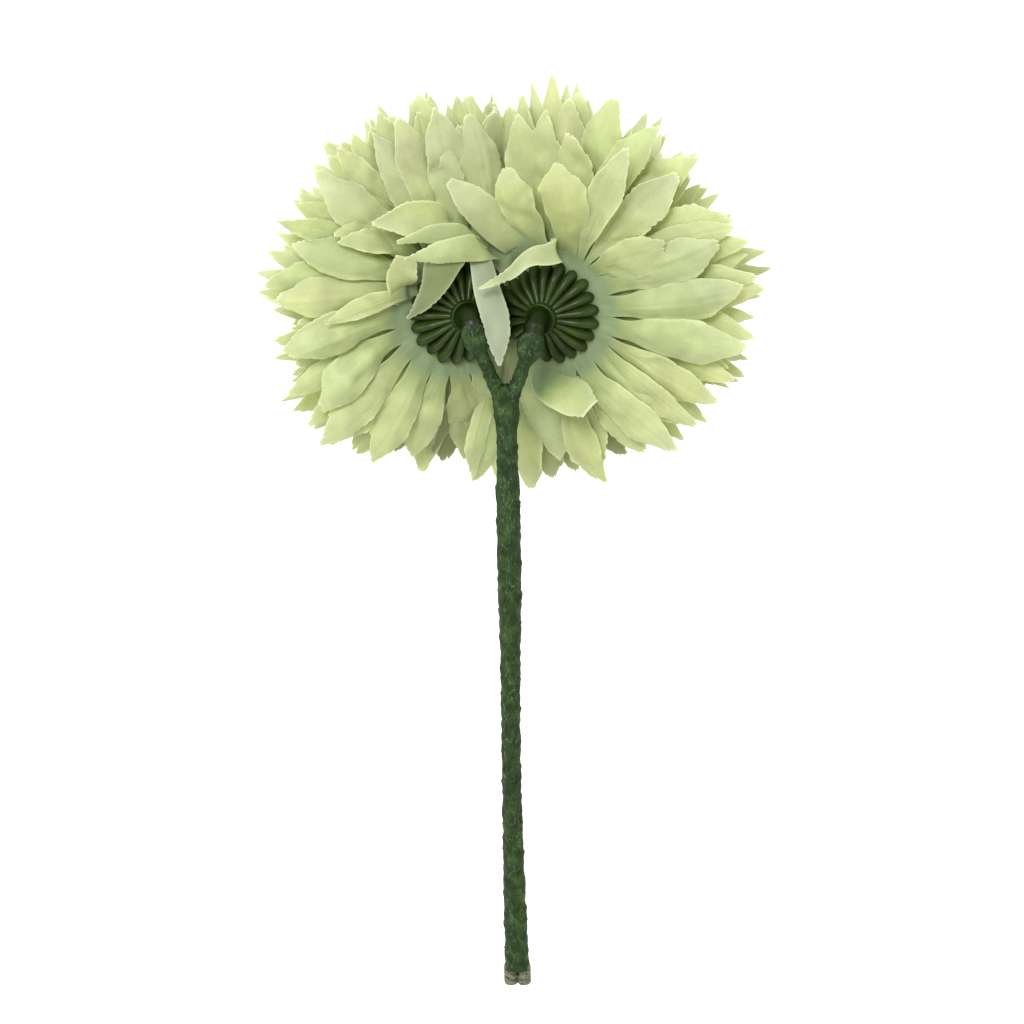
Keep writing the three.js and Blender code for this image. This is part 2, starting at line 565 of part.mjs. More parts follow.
/** The tape: one skin over the stem and both branches, hollow where the wires and the socket tubes are. */
function tape(wires, socketEnds) {
  const stem = new THREE.CatmullRomCurve3([STEM_TOP, ...STEM_ROUTE].map(vector), false, "centripetal");
  const stemRings = STEM_RADII.map(([s]) => s);
  let body = bar(stem, 0, stem.getLength(), (s) => along(STEM_RADII, s), ROUND_SIDES, stemRings);
  for (const [name, wire] of Object.entries(wires)) {
    const start = socketEnds[name] - KNOB_OVERLAP;
    const knobEnd = start + KNOB_RADII.at(-1)[0];
    const knobRings = KNOB_RADII.map(([s]) => start + s);
    const branchEnd = distanceTo(wire, vector(FORK)) + BRANCH_PAST_FORK;
    body = body.add(bar(wire, start, knobEnd, (s) => along(KNOB_RADII, s - start), ROUND_SIDES, knobRings));
    const branchStart = knobEnd - BRANCH_RADIUS;
    body = body.add(bar(wire, branchStart, branchEnd, () => BRANCH_RADIUS, BRANCH_SIDES, WIRE_RINGS));
  }
  for (const [name, wire] of Object.entries(wires)) {
    const end = socketEnds[name];
    const fit = () => SOCKET_RADIUS + TAPE_ON_SOCKET;
    const channel = () => WIRE_RADIUS + WIRE_CLEARANCE;
    body = body.subtract(
      bar(wire, end - KNOB_OVERLAP - CUT_SPARE, end + TAPE_ON_SOCKET, fit, ROUND_SIDES, WIRE_RINGS),
    );
    body = body.subtract(
      bar(wire, end - CHANNEL_OVERLAP, wire.getLength() + CUT_SPARE, channel, WIRE_SIDES, WIRE_RINGS),
    );
  }
  return body;
}

const finishes = {
  petal: new THREE.MeshStandardMaterial({ color: 0xd3dda5, roughness: 0.85, metalness: 0 }),
  calyx: new THREE.MeshStandardMaterial({ color: 0x2c4017, roughness: 0.28, metalness: 0 }),
  tape: new THREE.MeshStandardMaterial({ color: 0x35502f, roughness: 0.9, metalness: 0 }),
  wire: new THREE.MeshStandardMaterial({ color: 0xa9ad98, roughness: 0.6, metalness: 0 }),
};

const flower = new THREE.Group();

/** Adds a named piece to the flower. */
function addPiece(name, made, finish) {
  const piece = new THREE.Mesh(geometryOf(made), finishes[finish]);
  piece.name = name;
  flower.add(piece);
}

const wires = {};
const socketEnds = {};
for (const [name, bloom] of Object.entries(BLOOMS)) {
  const axes = axesOf(bloom);
  wires[name] = wireRoute(name, bloom, axes);
  socketEnds[name] = distanceTo(wires[name], vector(SOCKET_ENDS[name]));
  addPiece(`${name}_calyx`, calyx(axes, wires[name], socketEnds[name]), "calyx");
  for (let sheet = 0; sheet < SHEETS; sheet++) {
    let made = stampedSheet(name, bloom, axes, sheet);
    if (sheet === 0) for (const stray of STRAY_PETALS[name]) made = made.add(strayPetal(bloom, axes, stray));
    addPiece(`${name}_petal_sheet_${sheet + 1}`, made, "petal");
  }
  const wireEnd = wires[name].getLength() + WIRE_STICKS_OUT;
  const wire = bar(wires[name], WIRE_SHORT, wireEnd, () => WIRE_RADIUS, WIRE_SIDES, WIRE_RINGS);
  addPiece(`${name}_wire`, wire, "wire");
}
addPiece("stem_tape", tape(wires, socketEnds), "tape");

// Everything moves so that the origin is under the middle of the box.
const box = new THREE.Box3().setFromObject(flower);
const middle = box.getCenter(new THREE.Vector3());
for (const piece of flower.children) piece.geometry.translate(-middle.x, -middle.y, -box.min.z);

export default flower;
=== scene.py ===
"""The looks of a two-headed pompon chrysanthemum pick, lying face down on a pale floor.

Each head is a stack of heat-cupped polyester sheets on a moulded calyx, and crepe tape binds both wires into
one stem. The shapes come from the same rules as the solids, with more sheets, finer edges and softer bends.

Lengths are in millimetres until a mesh is made. metres() turns them into the frame's metres.
"""

import functools
import math

import bpy
import numpy as np
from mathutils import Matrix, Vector


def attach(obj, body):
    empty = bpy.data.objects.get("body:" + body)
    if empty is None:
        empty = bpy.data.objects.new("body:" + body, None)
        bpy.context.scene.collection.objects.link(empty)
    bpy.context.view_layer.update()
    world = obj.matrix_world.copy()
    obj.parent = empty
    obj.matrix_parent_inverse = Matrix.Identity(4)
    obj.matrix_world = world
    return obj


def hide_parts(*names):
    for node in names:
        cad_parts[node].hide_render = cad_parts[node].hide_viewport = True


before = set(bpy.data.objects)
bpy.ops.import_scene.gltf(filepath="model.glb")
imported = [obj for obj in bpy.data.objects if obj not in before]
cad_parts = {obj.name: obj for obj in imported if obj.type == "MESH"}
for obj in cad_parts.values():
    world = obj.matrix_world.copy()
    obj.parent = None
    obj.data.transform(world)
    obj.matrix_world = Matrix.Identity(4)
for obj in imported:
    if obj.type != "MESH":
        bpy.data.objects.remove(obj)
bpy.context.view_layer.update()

# ---- Sizes, in millimetres and degrees

# The point that the frame's origin stands for: under the middle of the object's box, on the floor.
ORIGIN = np.array([-2.09, -3.69, -0.47])
PER_METRE = 1000

# hub: where the head's axis meets its back. lean: the way its back faces. droop: how far petals towards the
# stem sag. calyx: the middle of the moulding's base. swells: where the ball of tips is fuller or flatter, as an
# angle from the outward side and a width, in radians, and the share that it adds.
BLOOMS = {
    "left": {"hub": (-16.6, 66.8, 50), "lean": (0.29, -0.2, 0.94), "side": -1, "droop": 0.3, "seed": 11,
             "calyx": (-15.4, 67.4, 50),
             "swells": ((0.62, 0.33, -0.1), (-0.04, 0.1, -0.13), (-0.3, 0.16, -0.11), (-0.52, 0.1, 0.06))},
    "right": {"hub": (13.4, 67.4, 50), "lean": (-0.37, -0.3, 0.88), "side": 1, "droop": 0.2, "seed": 47,
              "calyx": (12.5, 67.5, 49.7),
              "swells": ((0.7, 0.35, -0.1), (0.27, 0.16, 0.09))},
}
# The wall along which the heads press against each other. Petals that reach it turn down.
WALL_THROUGH = np.array([-1.5, 0, 45])
WALL_NORMAL = (1, 0, -0.16)

# The petal sheets. A level counts the solids' sheets from the back. The looks have more sheets in between.
SHEETS = 9
FABRIC = 0.28
FIRST_DEPTH = 0.7  # from the calyx's plane to the back sheet
SHEET_PITCH = 1.4
SHEET_HOLE = 2
BACK_SLIT = 19  # how far out the back sheet's slits begin
FRONT_SLIT = 12
SLIT_STEP = 1.05
PETALS_OF_SHEET = (17, 16, 15, 14, 13, 12, 10, 8, 6)
FRONT_HALF = 7
HALF_STEP = 0.3  # how much narrower the petals are at each level
PETAL_LENGTHS = np.arange(18, 76, 0.5)  # what a petal's length is chosen from
BEND_STEPS = 44

# Points across and along a petal. An outer sheet of the solids is three sheets here, and an inner one two.
BACK_GRID = (29, 36)
SHOWING_GRID = (25, 28)
OUTER_SHEETS = 3
OUTER_LAYERS = (3, (19, 13))
INNER_LAYERS = (2, (15, 10))
STRAY_COLUMNS = 19
STRAY_SPACING = 0.9

# The power that rounds the tips, and the pinking's teeth: how far apart and how deep they are.
BACK_TIP_SHARP = 1.55
FRONT_TIP_SHARP = 1.3
TIP_TEETH = ((1.3, 1.3), (3.7, 1.2))
SIDE_TOOTH = 2.6

# The ball that the tips form: its radii across and along the head's axis, how far before the hub its middle
# is, and how much larger it is at the top.
BALL_RADIUS = 61
BALL_DEPTH = 47
BALL_MIDDLE = 12
BALL_LEAN = 0.12
FLOOR_GAP = 0.5

CALYX_RADIUS = 16.2
CALYX_FINGERS = 21
CALYX_RISE = 7.4
CALYX_RIM = 0.6
FINGER_HEIGHT = 2.3
FINGER_START = 0.22  # as a share of the calyx's radius
POINTS_PER_FINGER = 14
# Pairs of radius and height.
COLLAR = ((5.1, 5), (4.9, 7), (4.8, 8.7), (4.6, 9), (4.3, 8.9), (4, 8.4), (2, 8.2))
SOCKET_RADIUS = 3.1
SOCKET_FROM = 4
SOCKET_LIP_AT = 12.5
SOCKET_SIDES = 32
PEG_RADIUS = 1.6
PEG_HEAD = 2.7
PEG_PAST_SHEETS = 2.4
TURNED_SIDES = 40

WIRE_FROM = 1.6  # how far behind the calyx's plane the wires begin
SOCKET_STRAIGHT = 11.6  # how far behind it they leave the head's axis
WIRE_APART = 1.4
WIRE_APART_AT_FORK = 2
SLEEVE_RADIUS = 1.3
SLEEVE_SWELL = 0.95
SLEEVE_SPREAD = 0.65
SLEEVE_SIDES = 28
SLEEVE_SHORTER = 0.8  # how far the sleeves end before the wires in them
BARE_END = 6.9  # how far the sleeves stand out of the tape at the cut end
SPREAD_FROM = 9
# Radii of the tape, as pairs of distance and radius.
KNOB_RADII = ((0, 2.8), (0.6, 3.4), (1.8, 3.8), (5.4, 3.8), (7.6, 3), (9.2, 2.2))
KNOB_OVERLAP = 5.2
BRANCH_RADIUS = 2.15
BRANCH_SIDES = 36
BRANCH_LEAD = 7.5  # the length of stem that one turn of tape covers
BRANCH_PAST_FORK = 4
STEM_SIDES = 48
STEM_LEAD = 9.5
TAPE_STEP = 0.3
SOCKET_ENDS = {"left": (-10.2, 58, 62.3), "right": (5.9, 54.8, 62.6)}
FORK = (-1, 40.3, 55.5)
STEM_END = (2.7, -146, 4.1)
STEM_TOP = (-1.2, 45.2, 56.3)
STEM_ROUTE = (FORK, (-0.4, 9.7, 47), (0.2, -27.6, 36.6), (0.5, -65.8, 26.2), (1.3, -104.7, 15.4), STEM_END)
STEM_RADII = (
    (0, 0.8), (0.8, 2.1), (2.2, 3.5), (4.5, 4.2), (7, 4), (10, 3.9), (15, 3.3), (21, 3.2), (35, 3.8), (67, 3.8),
    (85, 3.3), (105, 3.1), (130, 3.1), (155, 3.4), (177, 3.75), (205, 3.9),
)

# The camera looks straight down from far away. Pixels are in the frame of 1024 by 1024 that it takes in.
CAMERA = np.array([0.8, 5.9, 1200])
FOCUS_DISTANCE = 1150
HALF_FRAME = 157.7  # half the width of the frame at the focus distance
HALF_PIXELS = 512

# ---- The petals that are seen from the back, one by one

# root: on a back sheet, the azimuth of the slit where the petal begins, up to the next slit. On the next
# sheets, the pixel where it comes into view. tip: the pixel where its tip is seen. half: half width. bow: how
# far its middle sways anticlockwise. rise: heights behind the disc. cup: how far its middle stands above its
# edges. pointed: how long its point is. shade and grey: below 0 the dye turns darker and greener, painted
# shade for petals that lie in shadow; above 0 it turns greyer. roll: how far one edge curls up.
PETAL_VALUES = ("root", "tip", "half", "bow", "rise", "cup", "pointed", "tint", "roll")


def seen_petal(values):
    usual = {"pointed": 0.3, "tint": 0, "roll": 0, "lean": 0, "sharp": BACK_TIP_SHARP}
    return {**usual, **dict(zip(PETAL_VALUES, values))}


# The back sheets' petals, anticlockwise. rise: of the middle over the straight line, and of the tip.
BLOOMS["left"]["back"] = (
    (5, (520, 300), 5.6, 0, (0, -3), 1), (25, (512, 268), 5.6, 0, (0, -2), 1),
    (45, (505, 215), 5.1, 0, (-1, -3), 1), (60, (468, 110), 6.8, -2, (1, 0), 1.2),
    (80, (437, 103), 7.2, -1, (1, 1), 1.2), (98, (395, 114), 6.2, -1.5, (0.5, 0), 1.2),
    (108, (376, 128), 6, -1.5, (0, 0), 1.2), (118, (312, 168), 6.8, 1.5, (2.5, 0), 2.6),
    (135, (291, 240), 6, 2, (1.6, 0.5), 1.8), (150, (272, 299), 6, 1, (1, 0), 1.6),
    (170, (281, 357), 6.6, -1, (4, 0), 3), (191.6, (317, 412), 6.5, -1, (3.4, 0), 2.8),
    (207, (313, 443), 6, 2.5, (0.5, -1), 1.2), (223.6, (366, 461), 6.2, 1.5, (2, -6), 2),
    (247, (408, 459), 6, -1, (1.5, -10), 1.6), (264.5, (469, 434), 6.4, 1, (1, -16), 1.4),
    (284, (488, 411), 4, -0.5, (1, -9), 0.8), (305, (498, 395), 4.6, 0, (-1, -10), 1, 0.3, 0.1),
    (325, (510, 365), 5.1, 0, (-1, -4), 1, 0.3, 0.1), (345, (518, 335), 5.6, 0, (0, -4), 1),
)
BLOOMS["right"]["back"] = (
    (1, (747, 289), 6.5, -1, (2.5, -1), 1.6), (21.5, (722, 241), 6.8, -1.5, (2.6, 0), 1.8),
    (41, (669, 243), 6.4, -1.5, (4.2, 1), 1.5, 0.2), (54, (680, 172), 6.6, -1, (1.5, 1), -1.4),
    (60, (632, 147), 5.2, 0.5, (5, 8), -1.8), (68, (557, 158), 7.6, -2.4, (7, 12), 1, 0.24),
    (91, (507, 163), 5.6, 1, (6, 11), 0.8), (113, (490, 215), 5.6, 0, (-1, -2), 1),
    (136, (497, 250), 5.6, 0, (-1, -3), 1), (160, (490, 300), 5.6, 0, (-1, -4), 1),
    (185, (492, 340), 5.1, 0, (-1, -4), 1), (210, (508, 388), 4.8, 0, (-1, -3), 1, 0.3, 0.2),
    (236, (556, 457), 6.8, 3.5, (2.5, -9), 2), (251, (604, 470), 6.4, 1, (-1, -6), 1.6),
    (293, (677, 453), 6.3, 0.5, (1.8, 0), 1.5), (313, (688, 430), 4.6, -0.5, (1, 0), 1.2),
    (324, (700, 428), 4.4, -1.5, (2, 0.5), 1.2), (334, (720, 405), 5.8, -1, (1, 0), 1.4),
    (343, (749, 350), 7.1, 0.5, (3.8, 1), 3.2),
)

# Petals of the next sheets that show between those. rise: of the root, the middle and the tip.
BLOOMS["left"]["showing"] = (
    ((462, 225), (444, 140), 4.6, 0, (-3, -2, -2), 0.8), ((402, 205), (334, 148), 4, 1, (-1, 0, 1), 1),
    ((405, 225), (325, 153), 4.6, 0, (-2, -1, -1), 1.2), ((395, 225), (290, 199), 3.8, 2, (-3, -2, -2), 1.4),
    ((398, 235), (274, 217), 3.6, 2.5, (-1, 0, 0), 1.2),
    ((400, 242), (329, 236), 3.2, -3, (1, 3, 3), 0.8, 0.4, 0, 0.3),
    ((404, 250), (334, 241), 3.8, -2, (1, 4, 3.5), 1, 0.4, 0, 0.4),
    ((400, 275), (259, 288), 4.6, -3, (-3, -2, -2), 1.6), ((400, 318), (294, 322), 4, 0, (-4, -3, -3), 1.2),
    ((408, 292), (322, 324), 3.2, -1, (2, 6, 5.5), 1.4, 0.4, 0, 0.4),
    ((390, 312), (270, 342), 4.6, 2.5, (-3, -2, -2), 1.2),
    ((400, 335), (286, 399), 5, -1, (-3, -2, -2.5), 1.2), ((405, 350), (302, 424), 4.6, 0, (-5, -4, -5), 1.2),
    ((415, 365), (332, 442), 4.8, 1, (-1.5, -1.5, -4), 1.4),
    ((435, 375), (391, 456), 4.4, 0, (-5, -8, -14), 1.2, 0.3, -0.5),
    ((450, 380), (426, 455), 4.6, 0, (-5, -9, -17), 1.2, 0.3, -0.6),
    ((458, 378), (446, 461), 6, -1, (-6, -11, -20), 1.4, 0.3, -0.7),
    ((452, 372), (446, 434), 4.6, -2, (-2, -6, -15), 1, 0.3, -0.4),
    ((492, 385), (469, 481), 3.4, -2, (-5, -6, -14), 0.8),
    ((494, 385), (474, 486), 4.2, 1.5, (-6, -8, -16), 1), ((497, 385), (498, 482), 4, 0, (-7, -9, -18), 1),
    ((487, 232), (492, 108), 6, 0, (-5, -4, -4), 1), ((480, 240), (452, 92), 6, 0, (-8, -7, -9), 1),
    ((487, 222), (467, 91), 5.8, 0, (-9, -8, -11), 1), ((492, 222), (490, 98), 5.6, 0, (-11, -10, -13), 1),
    ((450, 222), (414, 92), 6, 0, (-5, -4, -6), 1), ((455, 222), (428, 95), 5.8, 0, (-8, -7, -9), 1),
    ((428, 225), (380, 108), 5, 1, (-2.5, -2, -2), 1), ((440, 225), (419, 107), 4.6, 0, (-2, -1, -1.5), 1),
    ((468, 225), (459, 120), 4.4, 0.5, (-2, -0.5, -0.5), 0.8),
    ((462, 222), (442, 145), 3.6, -0.5, (-0.5, 1.8, 1.6), 0.8),
    ((412, 215), (348, 131), 4, 1, (-3, -2.5, -2), 1), ((418, 215), (366, 124), 4.2, 1, (-4, -3.5, -3), 1),
)
BLOOMS["right"]["showing"] = (
    ((515, 335), (506, 394), 3.4, 0, (0.3, 0, -4), 0.6, 0.3, 0.3),
    ((588, 385), (649, 453), 4.8, -1, (-2, -2, -5), 1),
    ((583, 390), (625, 459), 4.2, -1, (-7, -9, -14), 0.6, 0.2, -0.6),
    ((568, 385), (604, 488), 5.6, -2, (-1, 0, -6), 1.6), ((530, 400), (530, 494), 5.2, 0, (-5, -6, -13), 1.2),
    ((545, 400), (551, 485), 5, 0, (-8, -10, -17), 1.2, 0.3, -0.3),
    ((560, 390), (575, 473), 5.4, 0, (-10, -12, -19), 1, 0.3, -0.4),
    ((583, 240), (661, 121), 6, 2.5, (-1, 1, -1), 1.6), ((588, 215), (617, 94), 6, 1.5, (-4, -3, -5), 1.4),
    ((578, 240), (571, 129), 6.2, -1, (-2, 2, 3), 1.2), ((560, 235), (553, 71), 4.6, 0, (-6, -5, -8), 1),
    ((570, 230), (582, 88), 5.6, 0, (-5, -5, -7), 1.2), ((562, 235), (570, 95), 6, 0, (-3, -3, -4), 1),
    ((525, 225), (508, 101), 5.6, 0, (-8, -8, -10), 1), ((515, 225), (499, 103), 5.6, 0, (-12, -12, -14), 1),
    ((530, 240), (522, 90), 4.6, 0, (-6, -6, -8), 1), ((548, 245), (549, 108), 6.2, 2, (-2, -1, -1), 1.2),
    ((535, 245), (514, 112), 6.6, -1, (-3, -2, -2), 1.2), ((600, 225), (697, 153), 6.2, 1, (-3, -2, -3), 1.4),
    ((610, 245), (735, 216), 6, 1, (-4, -3, -4), 1.4), ((610, 262), (739, 228), 5, 1, (-2, -1, -2), 1.2),
    ((612, 285), (762, 279), 5, 0, (-2, -3, -3), 1.2), ((612, 270), (755, 243), 5, 1, (-3, -4, -4), 1.2),
    ((615, 300), (757, 342), 5, 1, (-3, -3, -3), 1.4), ((615, 320), (737, 384), 5, -1, (-3, -2, -3), 1.4),
)

# Petals of the back sheets that were bent over the calyx or their neighbours. root: azimuth where the petal
# leaves the disc. path: x, y and height behind the calyx's plane along its middle. half: half widths from
# root to tip. across: which way its width runs at the root and at the tip. roll: how far both edges curl up.
# leaves: how far it has left the disc where the slits begin. reach: which part of the dye it shows.
# shade and grey: as above, with painted shade below 0.
BLOOMS["left"]["strays"] = (
    dict(root=71, half=(2.5, 3, 3.6, 4.2, 4.4, 3.6, 0.5), across=((0.93, -0.34, -0.3), (0.97, 0.2, 0)),
         roll=-0.2, tint=0.8, reach=(26, 34, 40, 44, 48),
         path=((-10, 86.5, 3.4), (-8.8, 83.5, 8), (-6.8, 74, 13.5), (-3.9, 63.4, 18.3), (-3.3, 56, 20.4),
               (-3, 50.4, 21))),
    dict(root=98, half=(3, 5.4, 6.2, 4.6, 2.8, 0.4), across=((0.97, 0.1, -0.25), (0.8, -0.6, 0)), roll=-0.15,
         tint=-0.7,
         path=((-18, 87.6, 6), (-19.7, 83, 10.5), (-23.4, 74, 9), (-27.4, 68.6, 6.5), (-31.3, 65, 4))),
    dict(root=57, half=(2.5, 3.4, 4.2, 3.6, 0.6), across=((-0.85, 0.41, 0.35), (0, 0.9, 0.4)), roll=0.3,
         reach=(17, 31, 40, 47, 54),
         path=((-6.8, 85.5, 4.5), (-9.6, 86.3, 11), (-17, 85, 14), (-31.8, 82.2, 12))),
    dict(root=80, half=(2.5, 3.4, 3.6, 2.8, 0.6), across=((-0.85, 0.41, 0.2), (0, 0.9, 0.2)), roll=0.2,
         tint=-0.1, reach=(17, 31, 40, 47, 54),
         path=((-9.4, 88.6, 4), (-14, 90, 10), (-23, 90, 12), (-34, 87.4, 11))),
    dict(root=86, half=(2.5, 5, 6.2, 5.6, 0.6), across=((-1, 0.1, 0), (0, 1, 0.2)), roll=-0.2,
         path=((-13, 88.5, 2.6), (-17, 92, 6.5), (-27, 94.5, 9.5), (-41.5, 93, 8.5))),
    dict(root=157, half=(3, 4.4, 4.8, 3.4), across=((-0.36, -0.93, 0), (-1, 0, 0)), roll=0.1,
         path=((-33.4, 75, 3), (-32.4, 79, 5.5), (-31.2, 83.4, 6.5))),
)
BLOOMS["right"]["strays"] = (
    dict(root=90, half=(2.6, 3.3, 3.6, 3.3, 2.2, 1.8, 1.3, 0.3), across=((0.2, -0.95, 0.2), (0.5, -0.86, 0)),
         roll=0.2, reach=(50, 54),
         path=((14.4, 85.2, 5.5), (11.4, 84, 9), (7.8, 83.6, 11.5), (4.6, 82, 13.5), (0.9, 78.6, 16.5),
               (-4, 75.8, 20.5), (-9.3, 73.4, 24))),
    dict(root=118, half=(5.6, 6.4, 5.8, 5.6, 5, 1.4), across=((0.82, 0.34, 0.46), (0.64, 0.77, 0)), roll=0.1,
         tint=0.05, reach=(15, 17, 26, 38, 46, 52, 58),
         path=((4.2, 87.6, 2.2), (-2.9, 92.8, 5.4), (-9.6, 98.9, 9.4), (-18.5, 106.6, 11.8))),
    dict(root=264, half=(4.6, 6.4, 7, 6.2, 3.6), across=((0.93, -0.12, 0.35), (0.84, 0.54, 0)), roll=-0.12,
         leaves=0.6, reach=(13, 16, 24, 36, 46, 54),
         path=((13.6, 45.8, 1.5), (18.6, 42, 5), (24.8, 37.6, 8))),
    dict(root=130, half=(4.6, 5.4, 5, 4.4, 2), across=((0.3, 0.95, 0.45), (0.2, 0.97, 0.4)), leaves=0.6,
         reach=(14, 19),
         path=((0.4, 83.2, 1.6), (-4, 86, 2.2), (-8, 88, 1.6))),
)


# ---- Small helpers


def draw(a, b):
    """A repeatable draw between -1 and 1 for the numbers a and b: the digits of a large sine."""
    x = np.sin(np.asarray(a) * 12.9898 + np.asarray(b) * 78.233) * 43758.5453
    return 2 * (x - np.floor(x)) - 1


def smooth(x):
    x = np.clip(x, 0, 1)
    return x * x * (3 - 2 * x)


def unit(v):
    v = np.asarray(v, float)
    return v / np.linalg.norm(v, axis=-1, keepdims=True)


def along(pairs, position):
    """Values read from pairs of position and value."""
    at, value = np.array(pairs, float).T
    return np.interp(position, at, value)


def read_evenly(values, position):
    """Values read from a list that is spread over positions 0 to 1."""
    return np.interp(position, np.linspace(0, 1, len(values)), values)


def nearest(distances, points, target):
    return distances[np.argmin(np.linalg.norm(points - target, axis=1))]


def metres(points):
    return (points - ORIGIN) / PER_METRE


def add_object(name, data):
    added = bpy.data.objects.new(name, data)
    bpy.context.scene.collection.objects.link(added)
    return added


def ring_quads(rings, sides):
    """Quads between closed rings of points that follow one another."""
    first = np.arange(rings - 1)[:, None] * sides
    a, b = first + np.arange(sides), first + (np.arange(sides) + 1) % sides
    return np.stack([a, b, b + sides, a + sides], axis=-1).reshape(-1, 4)


def capped_rings(rings, sides):
    """Quads between rings, and a cap at each end."""
    last = (rings - 1) * sides
    caps = [tuple(range(sides))[::-1], tuple(range(last, last + sides))]
    return ring_quads(rings, sides).tolist() + caps


class Shape:
    """Points and faces gathered together, with a number per point for each tone that their material reads."""

    def __init__(self, *tones):
        self.points, self.faces, self.count = [], [], 0
        self.tones = {tone: [] for tone in tones}

    def add(self, points, faces=(), **tones):
        """Adds points, and faces that count from the first of them. Gives the points' numbers."""
        numbers = self.count + np.arange(points[..., 0].size).reshape(points.shape[:-1])
        self.points.append(points.reshape(-1, 3))
        self.faces += [tuple(int(i) + self.count for i in face) for face in faces]
        self.count += numbers.size
        for tone, values in self.tones.items():
            values.append(np.broadcast_to(tones[tone], numbers.shape).ravel())
        return numbers

    def add_grid(self, numbers):
        """Adds quads between numbered points that lie in rows and columns."""
        corners = (numbers[:-1, :-1], numbers[1:, :-1], numbers[1:, 1:], numbers[:-1, 1:])
        self.faces += np.stack(corners, axis=-1).reshape(-1, 4).tolist()

    def add_blade(self, sheet):
        """Adds a sheet of quads closed into a blade: both faces, and a wall along each free edge."""
        points, quads = np.vstack(sheet.points), np.array(sheet.faces)
        a, b, c, d = (points[quads[:, k]] for k in range(4))
        normals = np.zeros_like(points)
        for k in range(4):
            np.add.at(normals, quads[:, k], np.cross(c - a, d - b))
        half_fabric = unit(normals + 1e-12) * FABRIC / 2
        edges = np.vstack([quads[:, [k, (k + 1) % 4]] for k in range(4)])
        keys = {(int(a), int(b)) for a, b in edges}
        walls = [(b, a, a + sheet.count, b + sheet.count) for a, b in keys if (b, a) not in keys]
        faces = quads.tolist() + (quads[:, ::-1] + sheet.count).tolist() + walls
        tones = {tone: np.tile(np.concatenate(values), 2) for tone, values in sheet.tones.items()}
        self.add(np.vstack([points + half_fabric, points - half_fabric]), faces, **tones)

    def piece(self, name, replaced, slot, material):
        """Makes the object that is seen in place of the CAD nodes."""
        mesh = bpy.data.meshes.new(name)
        mesh.from_pydata(metres(np.vstack(self.points)).tolist(), [], self.faces)
        for tone, values in self.tones.items():
            attribute = mesh.attributes.new(tone, "FLOAT", "POINT")
            attribute.data.foreach_set("value", np.concatenate(values).astype(np.float32))
        mesh.polygons.foreach_set("use_smooth", [True] * len(mesh.polygons))
        mesh.materials.append(material)
        mesh.update()
        piece = add_object(name, mesh)
        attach(piece, "root")
        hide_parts(*replaced)


def curve_through(route, spacing=0.5):
    """Distances and evenly spaced points along the centripetal Catmull-Rom curve through a route."""
    p = [np.asarray(point, float) for point in route]
    p = [2 * p[0] - p[1]] + p + [2 * p[-1] - p[-2]]
    dense = []
    for p0, p1, p2, p3 in zip(p, p[1:], p[2:], p[3:]):
        d1 = np.linalg.norm(p2 - p1) ** 0.5
        d0 = np.linalg.norm(p1 - p0) ** 0.5 or d1
        d2 = np.linalg.norm(p3 - p2) ** 0.5 or d1
        t1 = ((p1 - p0) / d0 - (p2 - p0) / (d0 + d1) + (p2 - p1) / d1) * d1
        t2 = ((p2 - p1) / d1 - (p3 - p1) / (d1 + d2) + (p3 - p2) / d2) * d1
        t = np.linspace(0, 1, 60, endpoint=False)[:, None]
        dense.append(p1 + t1 * t + (3 * (p2 - p1) - 2 * t1 - t2) * t**2 + (2 * (p1 - p2) + t1 + t2) * t**3)
    dense = np.vstack(dense + [p[-2][None]])
    gone = np.concatenate([[0], np.cumsum(np.linalg.norm(np.diff(dense, axis=0), axis=1))])
    even = np.linspace(0, gone[-1], max(2, round(gone[-1] / spacing) + 1))
    return even, np.stack([np.interp(even, gone, dense[:, k]) for k in range(3)], axis=1)


def tube(points, radii, sides):
    """A closed tube round a curve. radii holds a radius for each ring, or for each ring and side."""
    ahead = unit(np.gradient(points, axis=0))
    across = np.empty_like(ahead)
    way = np.array([1.0, 0, 0])
    for k, along_curve in enumerate(ahead):
        way = unit(way - along_curve * way.dot(along_curve))
        across[k] = way
    up = np.cross(ahead, across)
    turn = np.linspace(0, 2 * math.pi, sides, endpoint=False)
    ring = np.cos(turn)[None, :, None] * across[:, None] + np.sin(turn)[None, :, None] * up[:, None]
    skin = points[:, None] + ring * radii.reshape(len(points), -1, 1)
    return skin.reshape(-1, 3), capped_rings(len(points), sides)


def turned(hub, east, north, back, profile):
    """A body turned round the head's axis from pairs of radius and height."""
    turn = np.linspace(0, 2 * math.pi, TURNED_SIDES, endpoint=False)
    ring = np.cos(turn)[:, None] * east + np.sin(turn)[:, None] * north
    skin = np.vstack([hub + ring * radius + back * height for radius, height in profile])
    return skin, capped_rings(len(profile), TURNED_SIDES)


# ---- The petals' shape

# Numbers per point for the satin: reach picks the dye, dark near the roots partly as painted shade; petal is each
# petal's own tone; the pale edge is fray with a painted highlight; the last is painted shade below 0, greyer
# above.
TONES = ("reach", "petal", "rim", "tint")


def axes_of(bloom):
    """The head's own axes: back points out of the calyx, east and north span the sheets."""
    back = unit(bloom["lean"])
    east = unit(np.array([1, 0, 0]) - back * back[0])
    return np.array(bloom["hub"], float), east, np.cross(back, east), back


def slit_reach(level):
    """How far out a sheet's slits begin."""
    return BACK_SLIT if level == 0 else FRONT_SLIT - SLIT_STEP * level


def elevation(bloom, level, azimuth, reach):
    """How far a petal points back from the calyx's plane, in degrees. The sheets close towards the heart."""
    flat_to = 1.5 + 14 * (1 - level / (SHEETS - 1))
    openness = 94 - 8.5 * level - 0.4 * level**2
    sag = 1 - bloom["droop"] * np.maximum(0, -np.sin(azimuth)) ** 1.5
    curl = (4 - 3.5 * level) * (reach / 30 - 1)
    return (openness * sag - 90 + curl) * smooth((reach - flat_to) / 13)


